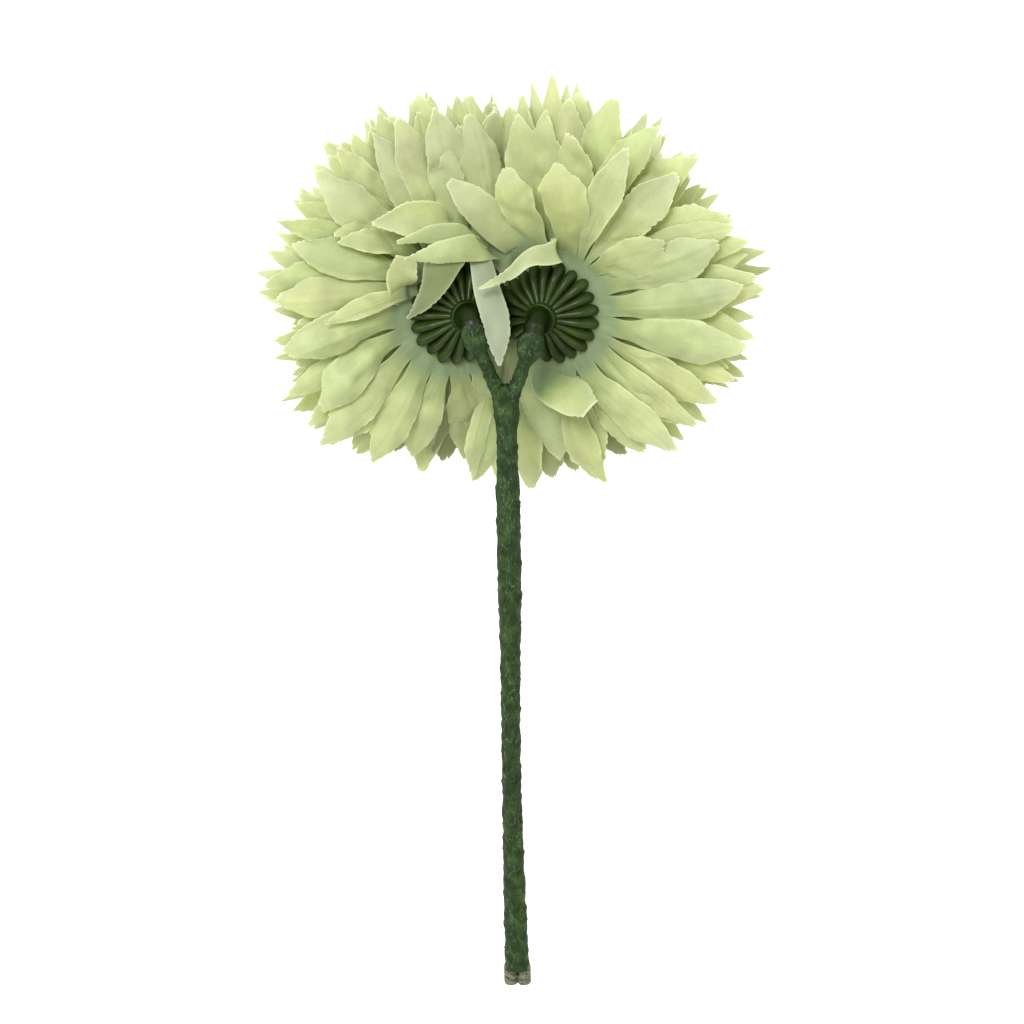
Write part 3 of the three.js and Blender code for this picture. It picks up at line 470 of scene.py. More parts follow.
def sheet_points(bloom, level, azimuth, reach, lift=0, slit=BACK_SLIT):
    """Points of a sheet at azimuths and distances from its middle. It turns down at the wall."""
    level, azimuth, reach, lift, slit = (
        np.asarray(x, float)[..., None] for x in np.broadcast_arrays(level, azimuth, reach, lift, slit)
    )
    hub, east, north, back = axes_of(bloom)
    wall = unit(WALL_NORMAL) * bloom["side"]
    down = unit(np.array([0, 0, -1]) + wall * wall[2])
    out = east * np.cos(azimuth) + north * np.sin(azimuth)
    point = hub - back * (FIRST_DEPTH + SHEET_PITCH * level)
    margin = 0.5 + 1.25 * level
    for k in range(BEND_STEPS):
        gone = (k + 0.5) * reach / BEND_STEPS
        angle = np.radians(elevation(bloom, level, azimuth, gone) + lift * smooth((gone - slit) / 14))
        way = out * np.cos(angle) + back * np.sin(angle)
        away = (way @ wall)[..., None]
        kept = away * smooth((((point - WALL_THROUGH) @ wall)[..., None] - margin) / 7)
        turned_down = unit(way - wall * away + down * (kept - away)) * np.sqrt(1 - kept**2) + wall * kept
        point = point + np.where(away < 0, turned_down, way) * reach / BEND_STEPS
    return point


def ball_length(bloom, level, azimuth, size):
    """The length at which a petal's middle line meets the ball that the tips form, or the floor."""
    hub, *_, back = axes_of(bloom)
    offset = sheet_points(bloom, level, azimuth, PETAL_LENGTHS) - hub
    behind = offset @ back
    aside2 = (offset**2).sum(axis=1) - behind**2
    ball = aside2 / (BALL_RADIUS * size) ** 2 + ((behind + BALL_MIDDLE) / (BALL_DEPTH * size)) ** 2
    outside = (ball > 1) | (offset[:, 2] + hub[2] < FLOOR_GAP)
    return PETAL_LENGTHS[np.argmax(outside)] if outside.any() else PETAL_LENGTHS[-1]


def seen_at(pixel, bloom, rise):
    """The point that shows at a pixel and lies at a height behind the plane of the head's back sheet."""
    hub, *_, back = axes_of(bloom)
    spread = HALF_FRAME / FOCUS_DISTANCE / HALF_PIXELS
    ray = np.array([(pixel[0] - HALF_PIXELS) * spread, (HALF_PIXELS - pixel[1]) * spread, -1])
    plane = hub + back * (rise - FIRST_DEPTH)
    return CAMERA + ray * ((plane - CAMERA) @ back) / (ray @ back)


def bent_line(start, end, ahead, back, bow, rise):
    """A line that sets off ahead, and sways sideways by bow and stands up by rise in its middle."""
    length = np.linalg.norm(end - start)
    straight = unit(end - start)
    side = unit(np.cross(back, straight))
    bulge = side * bow * 4 / 3 + back * rise * 4 / 3
    a = start + unit(ahead) * length * 0.33 + bulge * 0.7
    b = end - straight * length * 0.33 + bulge
    u = np.linspace(0, 1, 40)[:, None]
    return (1 - u) ** 3 * start + 3 * u * (1 - u) ** 2 * a + 3 * u**2 * (1 - u) * b + u**3 * end


def bites(along_edge, seed, pitch, depth):
    """How deep a pinked edge is cut in at distances along it: an uneven tooth every pitch."""
    tooth = along_edge / pitch
    part = tooth - np.floor(tooth)
    return depth * (0.35 + 0.65 * np.abs(draw(seed, np.floor(tooth)))) * np.abs(2 * part - 1)


def dents(seed, x, y):
    """Soft dents and ridges of a handled petal, at distances from its root and its middle."""
    lift = 0
    for k in range(5):
        turn = 1.3 * draw(seed, 80 + k)
        ahead = x - (6 + 24 * abs(draw(seed, 60 + k)))
        aside = y - 4 * draw(seed, 70 + k)
        lengthwise = ahead * math.cos(turn) + aside * math.sin(turn)
        crosswise = aside * math.cos(turn) - ahead * math.sin(turn)
        swell = draw(seed, 90 + k)
        lift = lift + 0.9 * swell * np.exp(-((lengthwise / 5.5) ** 2) - (crosswise / (1.2 + abs(swell))) ** 2)
    return lift


def places_across(columns, inner, outer):
    """Places across a petal from -1 to 1, with one more close to each edge."""
    return np.concatenate([[-1, -outer], np.linspace(-inner, inner, columns - 4), [outer, 1]])


def read_line(line, share):
    """Points or directions read from a line at shares of its length."""
    at = np.linspace(0, 1, len(line))
    return np.stack([np.interp(share, at, line[:, k]) for k in range(3)], axis=-1)


def petal_grid(middle, wide, root_half, petal, columns, rows):
    """A heat-cupped petal round its middle line. f: share of its length from the root. t: place across it."""
    seed, half = petal["seed"], petal["half"]

    def own(k):
        return draw(seed, k)

    length = np.linalg.norm(np.diff(middle, axis=0), axis=1).sum()
    across = places_across(columns, 0.9, 0.96)
    out = np.append(np.linspace(0, 0.975, rows - 1) ** 0.85, 1)

    # the tip: a little skew and uneven, with coarse and fine teeth
    skew = 0.25 * own(2)
    pointed = petal["pointed"] * (1 + 0.12 * own(1))
    sharp = petal["sharp"] + 0.25 * own(13)
    bite = sum(bites(across * half, seed + k, pitch, depth) for k, (pitch, depth) in enumerate(TIP_TEETH))
    tip = 1 - pointed * np.abs(across - skew * (1 - across**2)) ** sharp - bite / length
    row, t = np.meshgrid(out, across, indexing="ij")
    f = row * (1 - (1 - tip) * row**3)

    place = read_line(middle, f)
    ahead = unit(read_line(np.gradient(middle, axis=0), f))
    w = unit(read_line(wide, f))
    w = unit(w - ahead * (w * ahead).sum(axis=-1, keepdims=True))
    normal = np.cross(ahead, w)

    # the sides: broadest past the middle, pinched just beyond the slit, wavy and nicked
    broad = root_half + (half - root_half) * smooth(f / 0.58)
    broad = broad * (1 - 0.09 * np.exp(-(((f - 0.13) / 0.09) ** 2)))
    broad = broad * (1 - 0.1 * smooth((f - 0.66) / 0.34)) * (1 + 0.04 * np.sin(f * 19 + seed) * smooth(f / 0.2))
    nicked = 0.25 + 0.6 * abs(own(18))
    nick = bites(f * length, seed + np.sign(t), SIDE_TOOTH, nicked)
    nick = nick * np.abs(t) ** 12 * smooth((f - 0.35) / 0.25)

    # the surface, as heights over the flat petal: a cup, a twist, and waves that grow towards the edges
    opened = smooth(f / 0.35)
    lift = -0.8 * petal["cup"] * (t**2 - 0.3) * opened * (1 - 0.35 * f)
    lift += 0.5 * own(4) * np.sin(f * 7 + 5 * own(10)) * t * opened
    lift += 0.4 * np.sin(f * 16 + 9 * own(11)) * np.abs(t) ** 3 * opened
    lift += 0.22 * np.sin(f * 41 + 20 * own(14) + 2 * t) * np.abs(t) ** 6 * opened
    # the pressed midrib, fine veins beside it, and dents
    lift -= 0.2 * np.exp(-(((t - 0.15 * own(6)) / 0.09) ** 2)) * opened * (1 - 0.6 * f)
    lift += 0.035 * np.cos(t * 17 + 3 * own(7) + 2 * f) * opened
    lift += dents(seed, f * length, t * half) * opened
    # a fold along the middle, a bent tip, a rolled edge, and sometimes a curl at one side
    lift -= (0.17 + 0.15 * own(16)) * half * np.abs(t - 0.35 * own(17)) * opened * (1 - 0.6 * f)
    lift += 1.6 * own(8) * f**4
    lift += petal["roll"] * half * smooth((t - 0.2) / 0.8) ** 2 * opened
    curled = 0.22 * max(0, own(12)) * (np.sign(t) == np.sign(own(15)))
    lift += curled * half * smooth((np.abs(t) - 0.55) / 0.45) ** 2 * opened
    lift += (petal["lean"] + 0.1 * own(3)) * t * broad * opened

    grid = place + w * (t * broad - np.sign(t) * nick)[..., None] + normal * lift[..., None]
    grid[..., 2] = np.maximum(grid[..., 2], ORIGIN[2] + 0.25 + 0.15 * np.abs(t))
    to_edge = np.minimum((1 - np.abs(t)) * broad, (tip - f) * length)
    # how pale the cut edges are: the threads' own fray, and a painted highlight where the edges catch the light
    rim = np.exp(-np.maximum(to_edge, 0) / 0.3) * (0.3 + 0.7 * smooth((f - 0.1) / 0.3))
    return grid, f, rim, 0.5 + 0.5 * own(9)


def cut_sheet(bloom, level, petals, columns, rows):
    """One sheet: a disc with a hole, cut into petals beyond its slits. The back sheet's disc is rippled."""
    slit = slit_reach(level)
    sheet = Shape(*TONES)
    across = places_across(columns, 0.88, 0.95)
    rings = np.linspace(SHEET_HOLE, slit, max(3, round(slit / 2.2)))
    lines = np.concatenate([p["begin"] + (p["end"] - p["begin"]) * (across[:-1] + 1) / 2 for p in petals])
    disc_points = sheet_points(bloom, level, lines, rings[:, None])
    if level == 0:
        ripple = 0.16 * np.sin(lines * 11 + 2.5 * np.sin(lines * 3)) * smooth((rings - 8) / 10)[:, None]
        fine = 0.07 * np.sin(lines * 37 + 3 * np.sin(lines * 5)) * smooth((rings - 14) / 5)[:, None]
        disc_points = disc_points + axes_of(bloom)[3] * (ripple + fine)[..., None]
    disc = sheet.add(disc_points, reach=rings[:, None], petal=0.5, rim=0, tint=0)
    sheet.add_grid(np.hstack([disc, disc[:, :1]]))
    for k, petal in enumerate(petals):
        root = disc[-1, (k * (columns - 1) + np.arange(columns)) % len(lines)]
        grid, f, rim, shade = petal_grid(petal["middle"], petal["wide"], petal["root_half"], petal, columns, rows)
        reach = slit + (petal["reach"] - slit) * f
        rest = sheet.add(grid[1:], reach=reach[1:], petal=shade, rim=rim[1:], tint=petal["tint"])
        sheet.add_grid(np.vstack([root, rest]))
    return sheet


def back_sheet_petals(bloom):
    """The back sheet's petals, each set where it is seen."""
    _, east, north, back = axes_of(bloom)
    rows = [seen_petal(values) for values in bloom["back"]]
    petals = []
    for k, given in enumerate(rows):
        begin = math.radians(given["root"])
        end = math.radians(rows[(k + 1) % len(rows)]["root"]) + (2 * math.pi if k == len(rows) - 1 else 0)
        azimuth = (begin + end) / 2
        start = sheet_points(bloom, 0, azimuth, BACK_SLIT)
        tip = seen_at(given["tip"], bloom, given["rise"][1])
        out = east * math.cos(azimuth) + north * math.sin(azimuth)
        middle = bent_line(start, tip, out + back * 0.05, back, given["bow"], given["rise"][0])
        root_wide = -east * math.sin(azimuth) + north * math.cos(azimuth)
        blend = smooth(np.linspace(0, 1, len(middle)) / 0.3)[:, None]
        petals.append({
            **given, "begin": begin, "end": end, "middle": middle, "lean": 0.14,
            "wide": root_wide * (1 - blend) + unit(np.cross(back, tip - start)) * blend,
            "root_half": BACK_SLIT * (end - begin) / 2, "seed": bloom["seed"] + 3.1 * k,
            "reach": BACK_SLIT + 1.1 * np.linalg.norm(tip - start),
        })
    return petals


def even_petals(bloom, level):
    """The petals of any other sheet: evenly spread, with small seeded differences."""
    sheet = int(level)
    count = PETALS_OF_SHEET[sheet]
    seed = bloom["seed"] + 7 * level
    slit = slit_reach(level)
    turned_by = np.arange(count) + 0.5 * (sheet % 2) + (level - sheet) + 0.17 * draw(seed, np.arange(count))
    azimuths = turned_by * 2 * math.pi / count
    borders = (azimuths + np.append(azimuths[1:], azimuths[0] + 2 * math.pi)) / 2
    petals = []
    for k, azimuth in enumerate(azimuths):
        end = borders[k]
        begin = borders[k - 1] - (2 * math.pi if k == 0 else 0)
        aside = math.atan2(math.sin(azimuth), math.cos(azimuth) * bloom["side"])
        swell = sum(more * math.exp(-(((aside - at) / width) ** 2)) for at, width, more in bloom["swells"])
        size = 1 + BALL_LEAN * math.sin(azimuth) + swell + 0.06 * draw(seed, k + 50) - 0.02 * (level > sheet)
        length = ball_length(bloom, level, azimuth, size)
        reach = np.linspace(slit, length, 30)
        lift = 2.2 * draw(seed, k + 20)
        sway = math.radians(3) * draw(seed, k + 30) * ((reach - slit) / (length - slit)) ** 2
        middle = sheet_points(bloom, level, azimuth + sway, reach, lift, slit)
        beside = sheet_points(bloom, level, azimuth + sway + 0.05, reach, lift, slit)
        petals.append({
            "begin": begin, "end": end, "middle": middle, "wide": unit(beside - middle),
            "root_half": slit * (end - begin) / 2, "reach": length, "half": FRONT_HALF - HALF_STEP * level,
            "cup": 1.5 + 0.9 * draw(seed, k + 40), "pointed": 0.4, "sharp": FRONT_TIP_SHARP, "lean": 0,
            "roll": 0, "tint": 0, "seed": seed + 1.7 * k,
        })
    return petals


def showing_petal(bloom, given, seed):
    """A petal of one of the next sheets, set where it is seen between the back sheet's petals."""
    back = axes_of(bloom)[3]
    start = seen_at(given["root"], bloom, given["rise"][0])
    tip = seen_at(given["tip"], bloom, given["rise"][2])
    swell = given["rise"][1] - (given["rise"][0] + given["rise"][2]) / 2
    middle = bent_line(start, tip, tip - start, back, given["bow"], swell)
    wide = np.broadcast_to(unit(np.cross(back, tip - start)), middle.shape)
    grid, f, rim, shade = petal_grid(middle, wide, 2.2, {**given, "seed": seed}, *SHOWING_GRID)
    sheet = Shape(*TONES)
    sheet.add_grid(sheet.add(grid, reach=18 + 42 * f, petal=shade, rim=rim, tint=given["tint"]))
    return sheet


def stray_petal(bloom, stray, seed):
    """A petal bent out of place: a blade along a curve that starts in the disc of the back sheet."""
    hub, *_, back = axes_of(bloom)
    start = sheet_points(bloom, 0, math.radians(stray["root"]), np.array([16.5, 20.2]))
    start += back * np.array([[-0.9], [stray.get("leaves", 1.9)]])
    path = [(x, y, hub[2] + (h - (x - hub[0]) * back[0] - (y - hub[1]) * back[1]) / back[2])
            for x, y, h in stray["path"]]
    _, middle = curve_through([*start, *path], STRAY_SPACING)
    ahead = unit(np.gradient(middle, axis=0))
    u = np.linspace(0, 1, len(middle))
    blend = smooth(u * 1.2)[:, None]
    wide = np.array(stray["across"][0]) * (1 - blend) + np.array(stray["across"][1]) * blend
    wide = unit(wide - ahead * (wide * ahead).sum(axis=1, keepdims=True))
    out = np.cross(ahead, wide)
    half = read_evenly(stray["half"], u)
    t = places_across(STRAY_COLUMNS, 0.86, 0.94)
    line = np.arange(len(u))
    teeth = np.where(line % 2, 0.5 + 0.5 * draw(seed, line), 0) * smooth((u - 0.55) / 0.2)
    edge = half[:, None] - np.abs(t) ** 6 * 0.5 * teeth[:, None]
    bend = stray.get("roll", 0) * half[:, None] * (t**2 - 0.3) * smooth(u / 0.3)[:, None]
    wave = 0.35 * np.sin(u * 11 + seed)[:, None] * t * smooth(u / 0.3)[:, None]
    grid = middle[:, None] + wide[:, None] * (t * edge)[..., None] + out[:, None] * (bend + wave)[..., None]
    length = STRAY_SPACING * len(u)
    left_over = (1 - u)[:, None] * length
    # pale cut edges: the threads' own fray, and a painted highlight where the edges catch the light
    rim = 0.9 * np.exp(-np.minimum((1 - np.abs(t)) * edge, left_over) / 0.35)
    reach = read_evenly(stray.get("reach", (17, 17 + max(length, 28))), u)[:, None]
    sheet = Shape(*TONES)
    shade = 0.5 + 0.5 * draw(seed, 9)
    sheet.add_grid(sheet.add(grid, reach=reach, petal=shade, rim=rim, tint=stray.get("tint", 0)))
    return sheet


# ---- Materials


def linear(code):
    """Linear colour for an sRGB hex code such as "d3dda5"."""
    parts = [int(code[k : k + 2], 16) / 255 for k in (0, 2, 4)]
    return (*(c / 12.92 if c <= 0.04045 else ((c + 0.055) / 1.055) ** 2.4 for c in parts), 1)


def add_node(material, kind, settings=(), **links):
    """Adds a node. settings: of sockets and properties, or a ramp's stops. links: from nodes or outputs."""
    node = material.node_tree.nodes.new("ShaderNode" + kind)
    if kind == "ValToRGB":
        elements = node.color_ramp.elements
        for k, (at, colour) in enumerate(settings):
            element = elements[k] if k < len(elements) else elements.new(at)
            element.position, element.color = at, linear(colour) if isinstance(colour, str) else (colour,) * 4
        settings = ()
    for name, value in dict(settings).items():
        if isinstance(name, int) or name in node.inputs:
            node.inputs[name].default_value = value
        else:
            setattr(node, name, value)
    for name, source in links.items():
        key = int(name[1:]) if name[0] == "_" else name.replace("_", " ")
        if isinstance(source, bpy.types.Node):
            source = next(output for output in source.outputs if output.enabled)
        material.node_tree.links.new(node.inputs[key], source)
    return node


def make_material(surface):
    """A material named for the function that draws its surface. Its pattern sizes are in millimetres."""
    material = bpy.data.materials.new(surface.__name__)
    material.use_nodes = True
    material.node_tree.nodes.clear()
    node = functools.partial(add_node, material)
    object_place = node("TexCoord").outputs["Object"]
    place = node("Mapping", {"Scale": [PER_METRE] * 3}, Vector=object_place)
    node("OutputMaterial", Surface=surface(node, object_place, place))
    return material


# Settings that several nodes share. The scales turn metres into millimetres, stretched along threads or wrinkles.
MULTIPLIED = {"data_type": "RGBA", "blend_type": "MULTIPLY", 0: 1.0}
BLENDED = {"data_type": "RGBA", "blend_type": "MIX"}
THREADS = (1000, 750, 900)
WRINKLES = (1000, 220, 600)
FIBRES = (1000, 380, 700)
DYE_REACH = 60  # how far from the middle of a sheet the dye is palest


def polyester_satin(node, object_place, place):
    """Heat-cupped polyester satin: soft sheen, light through the cloth, and dye that changes along a petal.
    Shade is painted into its colour at the roots and on petals in shadow, and a highlight on the cut edges.
    """
    tones = {name: node("Attribute", {"attribute_name": name}).outputs["Fac"] for name in TONES}
    along_threads = node("Mapping", {"Scale": THREADS}, Vector=object_place)

    # the dye: grey green in the disc, darkest at the roots and pale at the tips. The dark roots are partly the
    # disc's own grey green and partly painted shade where the petals crowd together.
    reach = node("Math", {"operation": "DIVIDE", 1: DYE_REACH}, _0=tones["reach"])
    dye = node("ValToRGB", (
        (0.32, "a2b58e"), (0.4, "bbc691"), (0.54, "d2d9ad"), (0.74, "d3d9b1"),
        (0.9, "d2d7b5"), (1.0, "d4d8be")), Fac=reach)
    # painted shade: a tone below 0 darkens a petal that lies in shadow towards olive; above 0 it turns greyer and
    # bluer
    painted_shade_and_grey_share = node("Math", {"operation": "MULTIPLY_ADD", 1: 0.5, 2: 0.5}, _0=tones["tint"])
    tint = node("ValToRGB", (
        (0.0, "9cab80"), (0.5, "ffffff"), (1.0, "d0d8f8")), Fac=painted_shade_and_grey_share)
    odd = node("ValToRGB", (
        (0.0, "fffef6"), (0.5, "ffffff"), (1.0, "f8fcf6")), Fac=tones["petal"])
    uneven = node("TexNoise", {"Scale": 1 / 7, "Detail": 4}, Vector=place)
    patch = node("ValToRGB", ((0.32, 0.92), (0.68, 1.07)), Fac=uneven)
    flecked = node("TexNoise", {"Scale": 1 / 0.42, "Detail": 2}, Vector=along_threads)
    fleck = node("ValToRGB", ((0.3, 0.955), (0.7, 1.045)), Fac=flecked)
    for layer in (tint, odd, patch, fleck):
        dye = node("Mix", MULTIPLIED, _6=dye, _7=layer)

    # the cut edges: pale where the threads fray, with a painted highlight where they catch the light
    frayed = node("Math", {"operation": "MULTIPLY", 1: 0.8}, _0=tones["rim"])
    dye = node("Mix", {**BLENDED, 7: linear("f6f7e6")}, _0=frayed, _6=dye)

    # the weave: its threads are 0.1 mm apart, and drawn coarser so that they show
    weave = node("TexNoise", {"Scale": 1 / 0.5, "Detail": 2}, Vector=place)
    bump = node("Bump", {"Strength": 0.25, "Distance": 0.0002}, Height=weave)
    cloth = node("BsdfPrincipled", {
        "Roughness": 0.5, "IOR": 1.5, "Sheen Weight": 0.2, "Sheen Roughness": 0.5, "Specular IOR Level": 0.65,
    }, Base_Color=dye, Normal=bump)
    deep = node("Mix", {**MULTIPLIED, 7: linear("fbfde6")}, _6=dye)
    through = node("BsdfTranslucent", Color=deep, Normal=bump)
    return node("MixShader", {0: 0.6}, _1=cloth, _2=through)


def moulded_polyethylene(node, object_place, place):
    """Glossy moulded polyethylene: dark green, a little cloudy and uneven, and darker in the collar and socket:
    painted shade.
    """
    cloudy = node("TexNoise", {"Scale": 1 / 5, "Detail": 2}, Vector=place)
    colour = node("ValToRGB", ((0.3, "1a270b"), (0.7, "2a3d13")), Fac=cloudy)
    deep = node("Attribute", {"attribute_name": "deep"}).outputs["Fac"]
    # painted shade: the deep tone darkens the collar a little and the socket fully
    colour = node("Mix", {**MULTIPLIED, 7: linear("98ac88")}, _0=deep, _6=colour)
    uneven = node("TexNoise", {"Scale": 1 / 1.6, "Detail": 2}, Vector=place)
    bump = node("Bump", {"Strength": 0.3, "Distance": 0.0003}, Height=uneven)
    finish = {"Roughness": 0.36, "IOR": 1.51, "Specular IOR Level": 0.24}
    return node("BsdfPrincipled", finish, Base_Color=colour, Normal=bump)


def crepe_floral_tape(node, object_place, place):
    """Waxed crepe paper: matt, with fine wrinkles along the stem and pale fibres."""
    along_stem = node("Mapping", {"Scale": WRINKLES}, Vector=object_place)
    askew = node("Mapping", {"Scale": FIBRES}, Vector=object_place)
    patches = node("TexNoise", {"Scale": 1 / 3.5, "Detail": 3}, Vector=place)
    base = node("ValToRGB", (
        (0.3, "172411"), (0.5, "213519"), (0.72, "324626")), Fac=patches)
    wrinkles = node("TexNoise", {"Scale": 1 / 0.55, "Detail": 4, "Roughness": 0.7}, Vector=along_stem)
    # darker between the wrinkles and up to nearly twice as light on their crests
    mottle = node("ValToRGB", (
        (0.3, 0.75), (0.55, 1), (0.74, 1.9)), Fac=wrinkles)
    colour = node("Mix", MULTIPLIED, _6=base, _7=mottle)
    bands = node("TexNoise", {"Scale": 1 / 2.6, "Detail": 3}, Vector=askew)
    fibres = node("ValToRGB", (
        (0.475, 0), (0.49, 0.3), (0.5, 0)), Fac=bands)
    colour = node("Mix", {**BLENDED, 7: linear("7f9079")}, _0=fibres, _6=colour)
    bump = node("Bump", {"Strength": 0.55, "Distance": 0.0003}, Height=wrinkles)
    finish = {"Roughness": 0.75, "IOR": 1.45, "Specular IOR Level": 0.2}
    return node("BsdfPrincipled", finish, Base_Color=colour, Normal=bump)


def cut_wire_sleeve(node, object_place, place):
    """Extruded soft plastic sleeve: dull, and greyed where it was cut."""
    mottle = node("TexNoise", {"Scale": 1 / 0.9, "Detail": 3}, Vector=place)
    colour = node("ValToRGB", (
        (0.38, "23251b"), (0.48, "50523f"), (0.65, "6b6d58")), Fac=mottle)
    return node("BsdfPrincipled", {"Roughness": 0.6, "IOR": 1.5}, Base_Color=colour)


def matt_white_board(node, object_place, place):
    """Painted board: matt, and bright enough that soft shadows hardly show on it."""
    return node("BsdfPrincipled", {
        "Base Color": (0.35, 0.35, 0.35, 1), "Roughness": 0.9, "Specular IOR Level": 0.0,
        "Emission Color": (1, 1, 1, 1), "Emission Strength": 1.1})


# ---- Building the pieces


def build_heads(cloth):
    """A piece for each sheet of the solids. The first two also hold the petals that stray or show between."""
    for side, bloom in BLOOMS.items():
        for sheet in range(SHEETS):
            shape = Shape(*TONES)
            if sheet == 0:
                shape.add_blade(cut_sheet(bloom, 0, back_sheet_petals(bloom), *BACK_GRID))
                for k, stray in enumerate(bloom["strays"]):
                    shape.add_blade(stray_petal(bloom, stray, bloom["seed"] + k))
            else:
                layers, grid = OUTER_LAYERS if sheet <= OUTER_SHEETS else INNER_LAYERS
                for k in range(layers):
                    level = sheet + k / layers
                    shape.add_blade(cut_sheet(bloom, level, even_petals(bloom, level), *grid))
            if sheet == 1:
                for k, values in enumerate(bloom["showing"]):
                    shape.add_blade(showing_petal(bloom, seen_petal(values), bloom["seed"] + 2.3 * k))
            shape.piece(f"{side}_petals_{sheet + 1}", [f"{side}_petal_sheet_{sheet + 1}"], "petals", cloth)


def fingered_dome(hub, east, north, back, seed):
    """The calyx's dome: separate rounded fingers, fatter towards their tips."""
    samples = POINTS_PER_FINGER * CALYX_FINGERS
    turn = np.arange(samples) * 2 * math.pi / samples
    over = (np.arange(samples) % POINTS_PER_FINGER) * 2 / POINTS_PER_FINGER - 1
    rounded = np.sqrt(np.maximum(0, 1 - over**2))
    longer = 1 + 0.025 * draw(seed, np.arange(samples) // POINTS_PER_FINGER)
    outline = CALYX_RADIUS * longer * (0.74 + 0.26 * rounded**0.85)
    shares = np.concatenate([np.linspace(FINGER_START, 0.86, 17), [0.9, 0.94, 0.97, 0.99, 1.0]])
    out = (shares - FINGER_START) / (1 - FINGER_START)
    slope = CALYX_RIM + (CALYX_RISE - CALYX_RIM) * (1 - out) ** 1.25
    end = np.sqrt(np.clip(1 - (np.maximum(0, out - 0.66) / 0.34) ** 2, 0, 1))
    fat = (0.1 + (FINGER_HEIGHT - 0.1) * smooth(out / 0.7)) * end
    height = slope[:, None] + fat[:, None] * rounded - 0.6 * (out[:, None] ** 6)
    radius = shares[:, None] * outline
    local = np.stack([radius * np.cos(turn), radius * np.sin(turn), height], axis=-1)
    under = local[-1].copy()
    under[:, 2] = -0.1
    rings = np.concatenate([local.reshape(-1, 3), under, [[0, 0, CALYX_RISE + 0.2], [0, 0, -0.1]]])
    rows = len(shares) + 1
    quads = ring_quads(rows, samples)[:, [0, 3, 2, 1]].tolist()
    top, bottom, last = len(rings) - 2, len(rings) - 1, (rows - 1) * samples
    caps = [(top, k, (k + 1) % samples) for k in range(samples)]
    caps += [(bottom, last + (k + 1) % samples, last + k) for k in range(samples)]
    return hub + rings[:, :1] * east + rings[:, 1:2] * north + rings[:, 2:] * back, quads + caps


def wire_route(side, bloom):
    """The line of a wire from inside the calyx to the fork, and on down the stem."""
    hub, back = np.array(bloom["calyx"]), axes_of(bloom)[3]
    outward = np.array([bloom["side"], 0, 0])
    after_fork = np.array(FORK) + (np.array(STEM_ROUTE[1]) - FORK) * 0.3
    route = [hub + back * WIRE_FROM, hub + back * SOCKET_STRAIGHT, SOCKET_ENDS[side]]
    route += [FORK + outward * WIRE_APART_AT_FORK]
    route += [np.array(point) + outward * WIRE_APART for point in (after_fork, *STEM_ROUTE[1:])]
    return curve_through(route)


def build_calyxes(plastic):
    for side, bloom in BLOOMS.items():
        _, east, north, back = axes_of(bloom)
        hub = np.array(bloom["calyx"])
        distances, line = wire_route(side, bloom)
        end = nearest(distances, line, SOCKET_ENDS[side])
        shape = Shape("deep")
        shape.add(*fingered_dome(hub, east, north, back, bloom["seed"]), deep=0)
        peg_end = -(FIRST_DEPTH + SHEET_PITCH * (SHEETS - 1) + PEG_PAST_SHEETS)
        peg = ((PEG_HEAD, peg_end), (PEG_HEAD, peg_end + 1), (PEG_RADIUS, peg_end + 1.1), (PEG_RADIUS, 0.5))
        shape.add(*turned(hub, east, north, back, peg), deep=0)
        # deep: painted shade, a little on the collar and fully down the socket
        shape.add(*turned(hub, east, north, back, COLLAR), deep=0.4)
        part = (distances > SOCKET_FROM) & (distances < end)
        lip = 0.25 * np.exp(-((distances[part] - SOCKET_LIP_AT) / 0.5) ** 2)
        shape.add(*tube(line[part], SOCKET_RADIUS + lip, SOCKET_SIDES), deep=1)
        shape.piece(f"{side}_calyx_moulding", [f"{side}_calyx"], "calyx", plastic)


def wound_radius(distances, base, sides, seed, lead, phase=0.0):
    """The radius of tape wound in a helix. Each turn's edge stands a little proud."""
    turn = np.linspace(0, 1, sides, endpoint=False)
    wrap = distances[:, None] / lead + turn + phase
    wrap += 0.06 * draw(seed, np.floor(wrap)) + 0.02 * np.sin(turn * 2 * math.pi * 3 + distances[:, None] * 0.9)
    part = wrap - np.floor(wrap)
    step = TAPE_STEP * np.exp(-part * 5) + 0.1 * np.exp(-((part - 0.45) / 0.04) ** 2)
    lump = 0.1 * np.sin(distances[:, None] * 0.53 + turn * 4 * math.pi + seed)
    lump = lump + 0.07 * np.sin(distances[:, None] * 1.7 - turn * 6 * math.pi + 2 * seed)
    fine = 0.05 * draw(seed + np.arange(len(distances))[:, None] * 0.37, np.arange(sides))
    return base[:, None] + step + lump + fine - 0.12


def build_tape(paper):
    """The wraps round the stem, with a frayed end, and round the branches and their knobs."""
    shape = Shape()
    distances, line = curve_through((STEM_TOP, *STEM_ROUTE))
    taped = distances < distances[-1] - BARE_END
    distances, line = distances[taped], line[taped]
    radius = wound_radius(distances, along(STEM_RADII, distances), STEM_SIDES, 3, STEM_LEAD)
    frayed = 0.35 + 0.35 * draw(2, np.arange(STEM_SIDES) // 5)
    line = np.vstack([line, line[-1] + (line[-1] - line[-2])])
    shape.add(*tube(line, np.vstack([radius, radius[-1:] + frayed]), STEM_SIDES))
    for side, bloom in BLOOMS.items():
        distances, line = wire_route(side, bloom)
        start = nearest(distances, line, SOCKET_ENDS[side]) - KNOB_OVERLAP
        part = (distances > start) & (distances < nearest(distances, line, FORK) + BRANCH_PAST_FORK)
        gone = distances[part] - start
        base = np.where(gone < KNOB_RADII[-1][0], along(KNOB_RADII, gone), BRANCH_RADIUS)
        radius = wound_radius(gone, base, BRANCH_SIDES, 5 + bloom["side"], BRANCH_LEAD, 0.3)
        shape.add(*tube(line[part], radius, BRANCH_SIDES))
    shape.piece("crepe_tape_wrap", ["stem_tape"], "tape", paper)


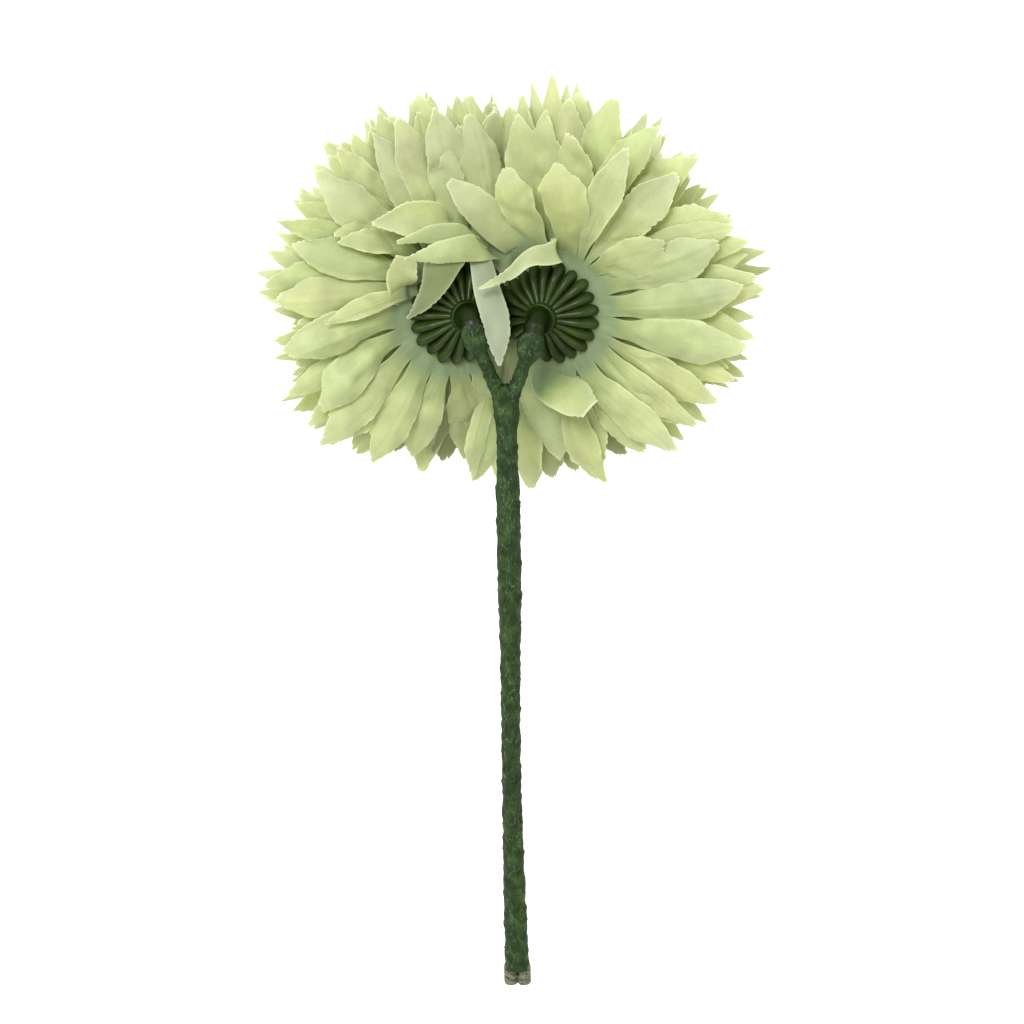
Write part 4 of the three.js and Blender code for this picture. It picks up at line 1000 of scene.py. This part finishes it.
def build_wires(sleeve):
    """The ends of the wires' sleeves, squashed apart by the cutter and hollow at the end."""
    for side, bloom in BLOOMS.items():
        distances, line = wire_route(side, bloom)
        end = distances[-1] - SLEEVE_SHORTER
        bare = (distances > end - 2 * BARE_END) & (distances <= end)
        left_over = end - distances[bare]
        squashed = smooth((SPREAD_FROM - left_over) / 3)
        points = line[bare] + np.array([bloom["side"], 0, 0]) * (SLEEVE_SPREAD * squashed)[:, None]
        radius = SLEEVE_RADIUS + SLEEVE_SWELL * squashed - 0.6 * smooth(1 - left_over)
        uneven = 0.1 * draw(4 + bloom["side"], np.arange(SLEEVE_SIDES))
        radius = radius[:, None] + uneven * smooth(1 - left_over / 5)[:, None]
        hollow = points[-1] - unit(points[-1] - points[-2]) * np.array([[0.1], [1.6]])
        points, radius = np.vstack([points, hollow]), np.vstack([radius, radius[-1:] - 0.5, radius[-1:] - 0.9])
        shape = Shape()
        shape.add(*tube(points, radius, SLEEVE_SIDES))
        shape.piece(f"{side}_wire_end", [f"{side}_wire"], "wire", sleeve)


# ---- The set, in metres


# Each lamp: where it is and aims, its size, watts and colour.
LIGHTS = {
    "key_softbox": ((-0.3, 0.5, 1.4), (0, 0.04, 0.03), 0.55, 19.7, (0.96, 0.975, 1)),
    "right_softbox": ((1.1, 0.1, 0.9), (0, 0.05, 0.03), 0.7, 2.5, (1, 1, 1)),
    "left_softbox": ((-1.1, 0.1, 0.8), (0, 0.05, 0.03), 0.7, 4.5, (1, 1, 1)),
}
FLOOR = [(-6, -6, 0), (6, -6, 0), (6, 6, 0), (-6, 6, 0)]


def build_set():
    """A plain white board under soft, slightly warm studio light that falls in from the top."""
    scene = bpy.context.scene
    scene.view_settings.view_transform = "Standard"
    scene.world = bpy.data.worlds.new("studio")
    scene.world.use_nodes = True
    background = scene.world.node_tree.nodes["Background"]
    background.inputs["Color"].default_value = (1, 0.985, 0.77, 1)
    background.inputs["Strength"].default_value = 1.02

    mesh = bpy.data.meshes.new("floor")
    mesh.from_pydata(FLOOR, [], [(0, 1, 2, 3)])
    mesh.materials.append(make_material(matt_white_board))
    floor = add_object("floor", mesh)

    for name, (place, aim, size, power, colour) in LIGHTS.items():
        light = bpy.data.lights.new(name, "AREA")
        light.shape, light.size, light.energy, light.color = "DISK", size, power, colour
        lamp = add_object(name, light)
        lamp.location = place
        lamp.rotation_euler = (Vector(aim) - Vector(place)).to_track_quat("-Z", "Y").to_euler()


def build_camera():
    """Looks straight down on the lying pick, from far enough for little perspective."""
    data = bpy.data.cameras.new("camera")
    data.angle = 2 * math.atan(HALF_FRAME / FOCUS_DISTANCE)
    camera = add_object("camera", data)
    camera.location = metres(CAMERA)
    bpy.context.scene.camera = camera


build_heads(make_material(polyester_satin))
build_calyxes(make_material(moulded_polyethylene))
build_tape(make_material(crepe_floral_tape))
build_wires(make_material(cut_wire_sleeve))
build_set()
build_camera()
